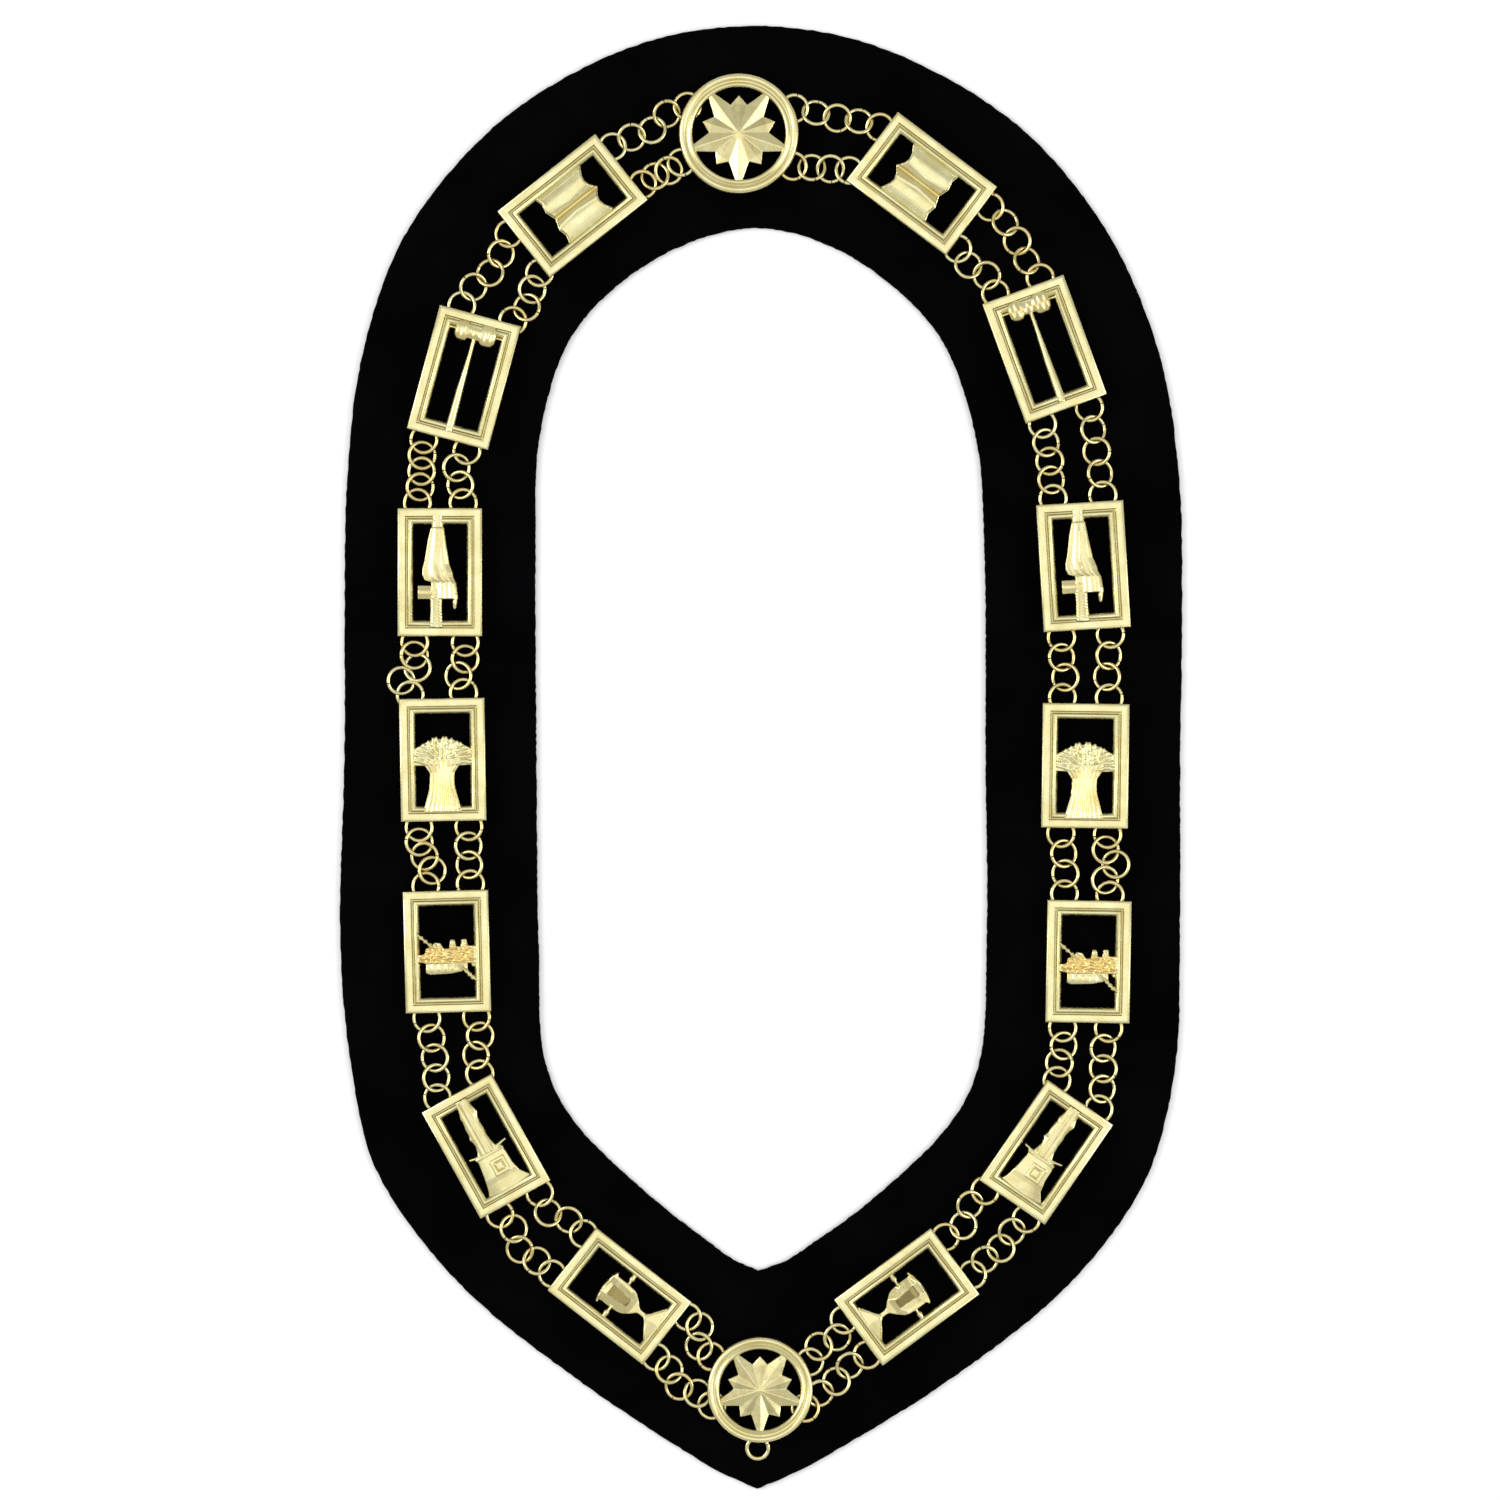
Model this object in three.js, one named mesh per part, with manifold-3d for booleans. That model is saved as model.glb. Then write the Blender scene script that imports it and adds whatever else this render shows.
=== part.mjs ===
// Chain of office: two rows of pierced plaques and two star medallions, joined by
// doubled runs of chain, laid on a pointed band of black velvet.
// Millimetres, +Z up, +Y toward the nape medallion, +X to the wearer's left.
import * as THREE from 'three';
import { mergeVertices } from 'three/addons/utils/BufferGeometryUtils.js';
import Module from 'manifold-3d';

const wasm = await Module();
wasm.setup();

// ---------------------------------------------------------------- sizes

const VELVET_THICKNESS = 2.4;
const VELVET_ROLL = 0.7;
const VELVET_STEPS = 40;
const GAP = 0.3;

const PLATE_BASE = 6.0;
const BAR_WIDTH = 6.0;
const NOMINAL_WIDE = 32.3;
const NOMINAL_TALL = 47.3;
const OPENING_WIDE = NOMINAL_WIDE - 2 * BAR_WIDTH;
const OPENING_TALL = NOMINAL_TALL - 2 * BAR_WIDTH;
const RELIEF_BACK = 0.3;
const RELIEF_EDGE = 0.6;
const OVERLAP = 0.6;

const HOOK_SPREAD = 9.5;
const HOOK_INSIDE = 2.8;
const HOOK_LENGTH = 3.3;
const HOOK_WIDTH = 1.1;
const HOOK_WIRE = 0.8;
const HOOK_FOOT = VELVET_THICKNESS + 0.35;
const HOOK_SUNK = 0.4;
const RIM_STEPS = 24;

const CHAIN_WIDE = 11.0;
const CHAIN_THICK = 3.0;
const CHAIN_FACETS = 8;
const CHAIN_STEPS = 4;
const CHAIN_FROM_HOOK = 2.2;

const PENDANT_RADIUS = 4.1;
const PENDANT_WIRE = 1.6;
const PENDANT_FACETS = 8;
const PENDANT_STEPS = 16;
const PENDANT_TILT = 6.6;
const PENDANT_INSIDE = 1.6;
const PENDANT_HOOK_LENGTH = 3.2;
const PENDANT_HOOK_WIRE = 0.55;

// Half outline of the velvet's outer edge, nape to point, with the sideways lean of each row.
const OUTER_EDGE = [
  { up: 278.0, out: 0.0, lean: -2.3 },
  { up: 272.7, out: 38.4, lean: -2.3 },
  { up: 257.5, out: 73.9, lean: -2.1 },
  { up: 234.7, out: 105.3, lean: -1.6 },
  { up: 196.7, out: 134.9, lean: -1.5 },
  { up: 151.1, out: 152.0, lean: 0.0 },
  { up: 105.0, out: 158.2, lean: 0.8 },
  { up: 60.0, out: 159.2, lean: 0.9 },
  { up: 0.0, out: 158.9, lean: 0.5 },
  { up: -69.4, out: 159.6, lean: -0.4 },
  { up: -115.0, out: 157.0, lean: 0.8 },
  { up: -153.0, out: 148.6, lean: 0.7 },
  { up: -175.8, out: 136.0, lean: 1.2 },
  { up: -205.0, out: 110.9, lean: 1.3 },
  { up: -236.6, out: 70.6, lean: 1.0 },
  { up: -262.0, out: 31.2, lean: -0.4 },
  { up: -274.5, out: 9.0, lean: -1.3 },
  { up: -278.0, out: 0.0, lean: -1.5 },
];

// Half outline of the neck opening, nape to point.
const INNER_EDGE = [
  { up: 200.8, out: 0.0, lean: -2.3 },
  { up: 195.5, out: 24.5, lean: -2.0 },
  { up: 181.4, out: 49.0, lean: -2.4 },
  { up: 158.7, out: 70.3, lean: -2.1 },
  { up: 120.7, out: 82.8, lean: -1.3 },
  { up: 80.0, out: 85.0, lean: -0.4 },
  { up: 0.0, out: 85.1, lean: 0.0 },
  { up: -70.0, out: 84.9, lean: 0.6 },
  { up: -115.0, out: 82.4, lean: 0.5 },
  { up: -136.0, out: 73.0, lean: 0.7 },
  { up: -160.5, out: 49.6, lean: 0.9 },
  { up: -184.0, out: 19.5, lean: 0.3 },
  { up: -194.7, out: 0.0, lean: -1.0 },
];

// Moulding of a plaque's bar, from its outer edge inward.
const BAR_MOULDING = [
  { inward: 0.0, up: 0.0 },
  { inward: 0.0, up: 1.7 },
  { inward: 0.5, up: 2.4 },
  { inward: 1.5, up: 2.6 },
  { inward: 2.1, up: 1.9 },
  { inward: 3.7, up: 1.9 },
  { inward: 4.3, up: 2.4 },
  { inward: 5.3, up: 2.2 },
  { inward: 6.0, up: 1.2 },
  { inward: 6.0, up: 0.0 },
];

// Moulding of a medallion's rim, as shares of the rim's width and in millimetres up.
const RIM_MOULDING = [
  { share: 0.0, up: 0.0 },
  { share: 0.0, up: 1.8 },
  { share: 0.18, up: 2.7 },
  { share: 0.42, up: 2.2 },
  { share: 0.6, up: 2.2 },
  { share: 0.82, up: 2.7 },
  { share: 1.0, up: 1.8 },
  { share: 1.0, up: 0.0 },
];

const STAR_REACH = 0.9;
const STAR_NOTCH = 0.46;
const STAR_SECOND = 0.62;
const STAR_SECOND_SPREAD = 16;
const STAR_EDGE_UP = 1.2;
const STAR_RIDGE_UP = 2.4;
const STAR_CENTRE_UP = 3.2;

// The medallions; each hook's angle is where a chain run is caught behind the rim.
const MEDALLIONS = {
  nape: {
    x: -8.4, y: 236.2, radius: 22.7, rim: 5.2, hookRadius: 19.4,
    hooks: { leftOuter: 140, leftInner: 204, rightOuter: 34, rightInner: -37 },
  },
  breast: {
    x: -0.4, y: -239.4, radius: 20.0, rim: 4.7, hookRadius: 17.3, pendantLean: -0.9,
    hooks: { leftInner: 148, leftOuter: 213, rightInner: 20, rightOuter: -38 },
  },
};

// The plaques of each side, nape to breast; turn is anticlockwise, in degrees.
const PLAQUES = {
  left: [
    { emblem: 'book', x: -71.4, y: 208.8, turn: -51.6, wide: 32.1, tall: 47.5 },
    { emblem: 'gavel', x: -112.5, y: 143.8, turn: -15.0, wide: 31.9, tall: 48.6 },
    { emblem: 'sword', x: -121.6, y: 70.1, turn: 0.0, wide: 32.1, tall: 48.6 },
    { emblem: 'sheaf', x: -120.5, y: -0.9, turn: 1.0, wide: 32.5, tall: 46.6 },
    { emblem: 'crown', x: -118.9, y: -73.5, turn: 1.5, wide: 32.5, tall: 46.2 },
    { emblem: 'column', x: -104.1, y: -147.2, turn: 29.0, wide: 30.4, tall: 46.2 },
    { emblem: 'cup', x: -53.6, y: -203.9, turn: 52.0, wide: 30.2, tall: 45.9 },
  ],
  right: [
    { emblem: 'book', x: 60.8, y: 217.2, turn: 53.0, wide: 32.5, tall: 47.3 },
    { emblem: 'gavel', x: 107.3, y: 154.5, turn: 20.0, wide: 32.8, tall: 48.3 },
    { emblem: 'sword', x: 122.0, y: 72.4, turn: 3.5, wide: 33.2, tall: 48.3 },
    { emblem: 'sheaf', x: 122.7, y: -3.2, turn: -0.8, wide: 33.0, tall: 47.3 },
    { emblem: 'crown', x: 123.9, y: -77.3, turn: -1.0, wide: 32.0, tall: 46.4 },
    { emblem: 'column', x: 107.9, y: -149.5, turn: -34.4, wide: 30.2, tall: 46.0 },
    { emblem: 'cup', x: 55.1, y: -204.2, turn: -53.6, wide: 31.2, tall: 45.8 },
  ],
};

// How far each chain run bows outward, and how far it sways from one half to the other.
const RUNS = {
  left: [
    { outerBow: -0.3, outerSway: 0.9, innerBow: 0.1, innerSway: -0.5 },
    { outerBow: -2.3, outerSway: -1.3, innerBow: -2.8, innerSway: 1.0 },
    { outerBow: -0.4, outerSway: 0.3, innerBow: 4.4, innerSway: 0.8 },
    { outerBow: 2.0, outerSway: -2.4, innerBow: 2.0, innerSway: -1.5 },
    { outerBow: -2.4, outerSway: 2.2, innerBow: 0.6, innerSway: 0.1 },
    { outerBow: -1.4, outerSway: -0.1, innerBow: 0.1, innerSway: -1.3 },
    { outerBow: 2.1, outerSway: -0.9, innerBow: 3.0, innerSway: 1.5 },
    { outerBow: 1.6, outerSway: 0.2, innerBow: -0.1, innerSway: -1.8 },
  ],
  right: [
    { outerBow: 0.4, outerSway: -0.5, innerBow: 0.0, innerSway: 0.0 },
    { outerBow: 1.3, outerSway: 1.9, innerBow: 0.9, innerSway: -1.8 },
    { outerBow: 0.6, outerSway: -0.2, innerBow: 0.9, innerSway: -0.2 },
    { outerBow: -1.4, outerSway: 0.3, innerBow: 1.1, innerSway: -0.9 },
    { outerBow: -0.9, outerSway: 0.5, innerBow: 1.4, innerSway: -0.1 },
    { outerBow: -0.6, outerSway: -1.0, innerBow: 1.3, innerSway: 0.6 },
    { outerBow: -0.5, outerSway: 0.0, innerBow: 1.3, innerSway: -2.2 },
    { outerBow: -0.8, outerSway: -0.4, innerBow: 0.5, innerSway: 1.6 },
  ],
};

// ---------------------------------------------------------------- materials

const gold = new THREE.MeshStandardMaterial({ color: '#d9cb86', roughness: 0.32, metalness: 0.95 });
const velvet = new THREE.MeshStandardMaterial({ color: '#0b0a0c', roughness: 1.0, metalness: 0.0 });

// ---------------------------------------------------------------- solid helpers

const degrees = (value) => THREE.MathUtils.degToRad(value);

/** Signed volume of an indexed triangle list. */
function volumeOf(points, triangles) {
  let sum = 0;
  for (const [a, b, c] of triangles) {
    sum += points[a].dot(new THREE.Vector3().crossVectors(points[b], points[c])) / 6;
  }
  return sum;
}

/** Closed geometry through matching rings of points; `around` joins the last ring to the first. */
function loft(rings, around = false) {
  const count = rings[0].length;
  const points = rings.flat();
  const triangles = [];
  const spans = around ? rings.length : rings.length - 1;
  for (let i = 0; i < spans; i += 1) {
    const here = i * count;
    const next = ((i + 1) % rings.length) * count;
    for (let k = 0; k < count; k += 1) {
      const after = (k + 1) % count;
      triangles.push([here + k, here + after, next + after]);
      triangles.push([here + k, next + after, next + k]);
    }
  }
  if (!around) {
    const last = (rings.length - 1) * count;
    for (let k = 1; k < count - 1; k += 1) {
      triangles.push([0, k + 1, k]);
      triangles.push([last, last + k, last + k + 1]);
    }
  }
  const outward = volumeOf(points, triangles) > 0;
  const geometry = new THREE.BufferGeometry();
  const flat = points.flatMap((p) => [p.x, p.y, p.z]);
  const index = triangles.flatMap(([a, b, c]) => (outward ? [a, b, c] : [a, c, b]));
  geometry.setAttribute('position', new THREE.Float32BufferAttribute(flat, 3));
  geometry.setIndex(index);
  return geometry;
}

/** A geometry as a manifold solid. */
function solidOf(geometry) {
  const plain = geometry.clone();
  plain.deleteAttribute('normal');
  plain.deleteAttribute('uv');
  const welded = mergeVertices(plain, 1e-5);
  return new wasm.Manifold(
    new wasm.Mesh({
      numProp: 3,
      vertProperties: new Float32Array(welded.attributes.position.array),
      triVerts: new Uint32Array(welded.index.array),
    }),
  );
}

/** All the geometries joined into one closed geometry. */
function joined(geometries) {
  const whole = geometries.map(solidOf).reduce((sum, part) => sum.add(part));
  const mesh = whole.getMesh();
  const geometry = new THREE.BufferGeometry();
  const corners = new Float32Array(mesh.numVert * 3);
  for (let i = 0; i < mesh.numVert; i += 1) {
    for (let axis = 0; axis < 3; axis += 1) {
      corners[i * 3 + axis] = mesh.vertProperties[i * mesh.numProp + axis];
    }
  }
  geometry.setAttribute('position', new THREE.BufferAttribute(corners, 3));
  geometry.setIndex(Array.from(mesh.triVerts));
  return geometry;
}

function node(name, geometry, material) {
  const flat = geometry.index ? geometry.toNonIndexed() : geometry;
  flat.computeVertexNormals();
  const mesh = new THREE.Mesh(flat, material);
  mesh.name = name;
  return mesh;
}

/** Block between two corners. */
function block(low, high) {
  const corner = (x, y, z) => new THREE.Vector3(x, y, z);
  const ring = (z) => [
    corner(low.x, low.y, z),
    corner(high.x, low.y, z),
    corner(high.x, high.y, z),
    corner(low.x, high.y, z),
  ];
  return loft([ring(low.z), ring(high.z)]);
}

/** Bar of relief along rows of { x, y, half, rise }: flat behind, its front in `facets` faces. */
function raised(rows, facets = 2) {
  const rings = rows.map((row, i) => {
    const before = rows[Math.max(i - 1, 0)];
    const after = rows[Math.min(i + 1, rows.length - 1)];
    const along = new THREE.Vector2(after.x - before.x, after.y - before.y).normalize();
    const at = (side, z) => new THREE.Vector3(row.x - along.y * side, row.y + along.x * side, z);
    const ring = [at(row.half, RELIEF_BACK)];
    for (let k = 0; k <= facets; k += 1) {
      const turn = (Math.PI * k) / facets;
      const up = RELIEF_BACK + RELIEF_EDGE + Math.sin(turn) * row.rise;
      ring.push(at(Math.cos(turn) * row.half, up));
    }
    ring.push(at(-row.half, RELIEF_BACK));
    return ring;
  });
  return loft(rings);
}

/** Sheet of relief across rows of { x, low, high, top }, flat behind. */
function leaf(rows) {
  const rings = rows.map((row) => [
    new THREE.Vector3(row.x, row.low, RELIEF_BACK),
    new THREE.Vector3(row.x, row.high, RELIEF_BACK),
    new THREE.Vector3(row.x, row.high, row.top),
    new THREE.Vector3(row.x, row.low, row.top),
  ]);
  return loft(rings);
}

/** Sheet of relief down rows of { y, left, right, top }, with `folds` creases `deep` into it. */
function drape(rows, folds, deep) {
  const rings = rows.map((row) => {
    const ring = [new THREE.Vector3(row.left, row.y, RELIEF_BACK)];
    for (let k = 0; k <= 2 * folds; k += 1) {
      const x = THREE.MathUtils.lerp(row.left, row.right, k / (2 * folds));
      const up = k % 2 === 0 ? row.top - deep : row.top;
      ring.push(new THREE.Vector3(x, row.y, up));
    }
    ring.push(new THREE.Vector3(row.right, row.y, RELIEF_BACK));
    return ring;
  });
  return loft(rings);
}

// ---------------------------------------------------------------- emblems, each filling one opening

const HALF_WIDE = OPENING_WIDE / 2;
const HALF_TALL = OPENING_TALL / 2;

/** Open book: two arched pages either side of a spine, reaching both side bars. */
function book() {
  const page = [
    { out: 0.0, low: -8.8, high: 11.8, top: 1.2 },
    { out: 1.4, low: -8.6, high: 10.8, top: 2.2 },
    { out: 4.2, low: -8.9, high: 9.2, top: 2.7 },
    { out: 7.4, low: -9.2, high: 10.2, top: 2.2 },
    { out: HALF_WIDE + OVERLAP, low: -9.8, high: 11.8, top: 1.6 },
  ];
  const right = page.map((row) => ({ ...row, x: row.out }));
  const left = page.slice(1).reverse().map((row) => ({ ...row, x: -row.out }));
  const cover = block({ x: -HALF_WIDE - OVERLAP, y: -10.2, z: RELIEF_BACK }, {
    x: HALF_WIDE + OVERLAP, y: 8.6, z: 1.0,
  });
  return [leaf([...left, ...right]), cover];
}

/** Gavel: turned head against the top bar and a handle down to the bottom bar. */
function gavel() {
  const head = [
    { x: -8.2, y: 16.0, half: 2.4, rise: 1.8 },
    { x: -6.6, y: 16.0, half: 3.1, rise: 2.2 },
    { x: -4.0, y: 16.0, half: 3.3, rise: 2.4 },
    { x: -2.2, y: 16.0, half: 2.4, rise: 2.0 },
    { x: 2.0, y: 16.0, half: 2.4, rise: 2.0 },
    { x: 3.8, y: 16.0, half: 3.3, rise: 2.4 },
    { x: 6.4, y: 16.0, half: 3.1, rise: 2.2 },
    { x: 8.0, y: 16.0, half: 2.4, rise: 1.8 },
  ];
  const handle = [
    { x: 0.0, y: 15.0, half: 1.1, rise: 1.4 },
    { x: -0.3, y: 2.0, half: 1.2, rise: 1.5 },
    { x: -0.2, y: -11.0, half: 1.6, rise: 1.7 },
    { x: 0.0, y: -HALF_TALL - OVERLAP, half: 1.8, rise: 1.7 },
  ];
  return [raised(head, 4), raised(handle, 3)];
}

/** Upright sword under a hanging veil, its guard showing to one side. */
function sword() {
  const blade = [
    { x: -0.6, y: HALF_TALL + OVERLAP, half: 2.5, rise: 1.6 },
    { x: -1.0, y: -6.0, half: 2.5, rise: 1.7 },
  ];
  const guard = [
    { x: -8.8, y: -8.2, half: 2.3, rise: 1.3 },
    { x: 5.0, y: -8.2, half: 2.3, rise: 1.3 },
  ];
  const grip = [
    { x: -1.4, y: -8.0, half: 2.0, rise: 1.5 },
    { x: -1.4, y: -HALF_TALL - OVERLAP, half: 2.2, rise: 1.5 },
  ];
  const veil = [
    { y: 13.2, left: -3.4, right: 2.2, top: 2.3 },
    { y: 5.0, left: -4.3, right: 4.4, top: 2.7 },
    { y: 1.0, left: -5.6, right: 5.6, top: 2.8 },
    { y: -3.0, left: -5.5, right: 7.2, top: 2.8 },
    { y: -5.4, left: -2.6, right: 7.8, top: 2.7 },
    { y: -10.4, left: -1.2, right: 7.9, top: 2.2 },
  ];
  const tail = [
    { y: -9.8, left: 6.1, right: 8.0, top: 2.0 },
    { y: -13.6, left: 6.4, right: 7.8, top: 1.6 },
  ];
  return [raised(blade), raised(guard, 3), raised(grip, 3), drape(veil, 2, 0.7), drape(tail, 1, 0.3)];
}

/** Sheaf of corn: a fan of ears across the opening, tied at a waist above spread stems. */
function sheaf() {
  const stems = [
    { y: -2.0, left: -6.4, right: 6.4, top: 2.2 },
    { y: -4.4, left: -4.6, right: 4.6, top: 2.5 },
    { y: -8.5, left: -4.2, right: 4.2, top: 2.6 },
    { y: -13.0, left: -5.2, right: 4.8, top: 2.3 },
    { y: -HALF_TALL - OVERLAP, left: -6.9, right: 5.9, top: 1.9 },
  ];
  const fan = [
    { x: -HALF_WIDE - OVERLAP, low: -2.0, high: 6.0, top: 1.5 },
    { x: -5.0, low: -2.4, high: 7.2, top: 1.9 },
    { x: 0.0, low: -3.4, high: 8.0, top: 2.1 },
    { x: 5.0, low: -2.4, high: 7.2, top: 1.9 },
    { x: HALF_WIDE + OVERLAP, low: -2.0, high: 6.0, top: 1.5 },
  ];
  const root = { x: 0, y: -14 };
  const ears = [];
  for (let i = -2; i <= 2; i += 1) {
    const lean = degrees(i * 11.6);
    const row = (reach, half, rise) => ({
      x: root.x + Math.sin(lean) * reach,
      y: root.y + Math.cos(lean) * reach,
      half,
      rise,
    });
    const tip = 23.0 - 0.25 * i * i;
    ears.push(raised([row(13.2, 0.7, 1.6), row(18.2, 1.5, 2.2), row(tip, 0.4, 1.2)]));
  }
  return [drape(stems, 2, 0.6), leaf(fan), ...ears];
}

/** Crown between the side bars with a sceptre slanting behind it. */
function crown() {
  const cap = [
    { x: -HALF_WIDE - OVERLAP, low: -3.6, high: 1.6, top: 1.6 },
    { x: -5.4, low: -4.0, high: 3.4, top: 2.5 },
    { x: 0.6, low: -4.2, high: 1.9, top: 2.8 },
    { x: 5.4, low: -4.0, high: 2.6, top: 2.5 },
    { x: HALF_WIDE + OVERLAP, low: -3.6, high: 2.2, top: 1.6 },
  ];
  const band = [
    { x: -8.0, y: -5.8, half: 2.1, rise: 1.5 },
    { x: -4.0, y: -6.2, half: 2.2, rise: 2.0 },
    { x: 3.6, y: -6.2, half: 2.2, rise: 2.0 },
    { x: 7.8, y: -5.8, half: 2.1, rise: 1.5 },
  ];
  const sceptre = [
    { x: -HALF_WIDE - OVERLAP, y: 6.5, half: 0.9, rise: 0.9 },
    { x: HALF_WIDE + OVERLAP, y: -10.7, half: 0.9, rise: 0.9 },
  ];
  const spike = (x, high) => raised([
    { x, y: 0.5, half: 1.5, rise: 1.6 },
    { x, y: high - 1.4, half: 0.8, rise: 1.2 },
    { x, y: high, half: 0.5, rise: 0.8 },
  ]);
  return [leaf(cap), raised(band, 3), raised(sceptre), spike(2.6, 5.0), spike(6.9, 5.0)];
}

/** Broken column hanging from the top bar onto a pedestal with a spread base. */
function column() {
  const shaft = [
    { x: 0.8, y: HALF_TALL + OVERLAP, half: 2.2, rise: 1.6 },
    { x: -0.2, y: 14.6, half: 3.8, rise: 2.1 },
    { x: -0.3, y: 9.0, half: 3.3, rise: 2.0 },
    { x: -1.0, y: 5.0, half: 3.8, rise: 2.1 },
    { x: -0.6, y: -0.5, half: 2.9, rise: 1.9 },
  ];
  const pedestal = [
    { x: -0.6, y: 0.4, half: 3.2, rise: 1.6 },
    { x: -0.5, y: -2.6, half: 5.9, rise: 2.1 },
    { x: -0.2, y: -8.6, half: 6.3, rise: 2.3 },
    { x: 0.4, y: -13.0, half: 7.6, rise: 2.2 },
    { x: 0.8, y: -HALF_TALL - OVERLAP, half: 9.4, rise: 1.8 },
  ];
  const spur = (side) => raised([
    { x: side * 3.0, y: -2.4, half: 0.9, rise: 1.0 },
    { x: side * 8.0, y: -0.9, half: 0.7, rise: 0.7 },
  ]);
  return [raised(shaft, 4), raised(pedestal, 3), spur(-1), spur(1)];
}

/** Cup on a stem and foot, held to the side bars by two small bridges. */
function cup() {
  const bowl = [
    { x: 0.0, y: 7.0, half: 6.4, rise: 1.6 },
    { x: 0.0, y: 5.4, half: 7.4, rise: 2.3 },
    { x: 0.0, y: 0.6, half: 6.6, rise: 2.6 },
    { x: 0.0, y: -4.4, half: 4.4, rise: 2.4 },
    { x: 0.0, y: -9.6, half: 0.9, rise: 1.3 },
    { x: 0.0, y: -12.4, half: 0.9, rise: 1.3 },
    { x: 0.0, y: -14.4, half: 3.4, rise: 1.7 },
    { x: 0.0, y: -HALF_TALL - OVERLAP, half: 7.6, rise: 1.9 },
  ];
  const bridge = (side) => raised([
    { x: side * 5.0, y: 0.0, half: 1.1, rise: 1.0 },
    { x: side * (HALF_WIDE + OVERLAP), y: 0.0, half: 0.9, rise: 0.8 },
  ]);
  return [raised(bowl, 5), bridge(-1), bridge(1)];
}

const EMBLEMS = { book, gavel, sword, sheaf, crown, column, cup };

// ---------------------------------------------------------------- plaques

/** Moulded bar round a plaque. */
function frame() {
  const corners = [[1, 1], [-1, 1], [-1, -1], [1, -1]];
  const rings = corners.map(([sideX, sideY]) => BAR_MOULDING.map((row) => new THREE.Vector3(
    sideX * (NOMINAL_WIDE / 2 - row.inward),
    sideY * (NOMINAL_TALL / 2 - row.inward),
    row.up,
  )));
  return loft(rings, true);
}

/** Staple on the back that an end link passes through, open across `along`. */
function hook(x, y, along, size = HOOK_LENGTH, wire = HOOK_WIRE) {
  const half = size / 2;
  const top = PLATE_BASE + HOOK_SUNK;
  const foot = HOOK_FOOT;
  const outline = [
    [-half, top], [-half, foot], [half, foot], [half, top],
    [half - wire, top], [half - wire, foot + wire],
    [wire - half, foot + wire], [wire - half, top],
  ];
  const shape = new THREE.Shape(outline.map(([u, z]) => new THREE.Vector2(u, z)));
  const geometry = new THREE.ExtrudeGeometry(shape, { depth: HOOK_WIDTH, bevelEnabled: false });
  geometry.translate(0, 0, -HOOK_WIDTH / 2);
  geometry.rotateX(Math.PI / 2);
  geometry.rotateZ(degrees(along));
  geometry.translate(x, y, 0);
  return geometry;
}

/** Place of a plaque's hook: `end` is 1 at its upper end, -1 at its lower. */
function plaqueHook(plaque, end, across) {
  const local = new THREE.Vector2(across * HOOK_SPREAD, end * (plaque.tall / 2 - HOOK_INSIDE));
  return local.rotateAround(new THREE.Vector2(), degrees(plaque.turn))
    .add(new THREE.Vector2(plaque.x, plaque.y));
}

const frameSolid = frame();

function plaqueGeometry(plaque) {
  const face = joined([frameSolid, ...EMBLEMS[plaque.emblem]()]);
  face.scale(plaque.wide / NOMINAL_WIDE, plaque.tall / NOMINAL_TALL, 1);
  face.rotateZ(degrees(plaque.turn));
  face.translate(plaque.x, plaque.y, PLATE_BASE);
  const hooks = [];
  for (const end of [1, -1]) {
    for (const across of [1, -1]) {
      const at = plaqueHook(plaque, end, across);
      hooks.push(hook(at.x, at.y, plaque.turn + 90));
    }
  }
  return joined([face, ...hooks]);
}

// ---------------------------------------------------------------- medallions

/** Five-pointed star, one point down, with five short points between, faceted up to its middle. */
function star(radius) {
  const outline = [];
  for (let i = 0; i < 5; i += 1) {
    const main = -90 + i * 72;
    outline.push({ angle: main, reach: STAR_REACH, up: STAR_EDGE_UP });
    outline.push({ angle: main + 36 - STAR_SECOND_SPREAD, reach: STAR_NOTCH, up: STAR_EDGE_UP });
    outline.push({ angle: main + 36, reach: STAR_SECOND, up: STAR_EDGE_UP });
    outline.push({ angle: main + 36 + STAR_SECOND_SPREAD, reach: STAR_NOTCH, up: STAR_EDGE_UP });
  }
  const at = (row, share, up) => new THREE.Vector3(
    Math.cos(degrees(row.angle)) * radius * row.reach * share,
    Math.sin(degrees(row.angle)) * radius * row.reach * share,
    up,
  );
  const back = outline.map((row) => at(row, 1, RELIEF_BACK));
  const edge = outline.map((row) => at(row, 1, row.up));
  const crest = outline.map((row, i) => at(row, i % 4 === 0 ? 0.5 : 0.4, i % 4 === 0 ? STAR_RIDGE_UP : 1.9));
  const middle = outline.map((row) => at(row, 0.04, STAR_CENTRE_UP));
  return loft([back, edge, crest, middle]);
}

/** Turned rim of a medallion. */
function rim(radius, width) {
  const profile = RIM_MOULDING.map((row) => new THREE.Vector2(radius - row.share * width, row.up));
  profile.push(profile[0].clone());
  const geometry = new THREE.LatheGeometry(profile, RIM_STEPS);
  geometry.rotateX(Math.PI / 2);
  return geometry;
}

function medallionHook(medallion, key) {
  const angle = degrees(medallion.hooks[key]);
  return new THREE.Vector2(
    medallion.x + Math.cos(angle) * medallion.hookRadius,
    medallion.y + Math.sin(angle) * medallion.hookRadius,
  );
}

/** Place of the staple that holds the pendant ring, at the foot of the rim. */
function pendantHook(medallion) {
  const reach = medallion.radius - PENDANT_INSIDE;
  return new THREE.Vector2(medallion.x + medallion.pendantLean, medallion.y - reach);
}

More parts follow.
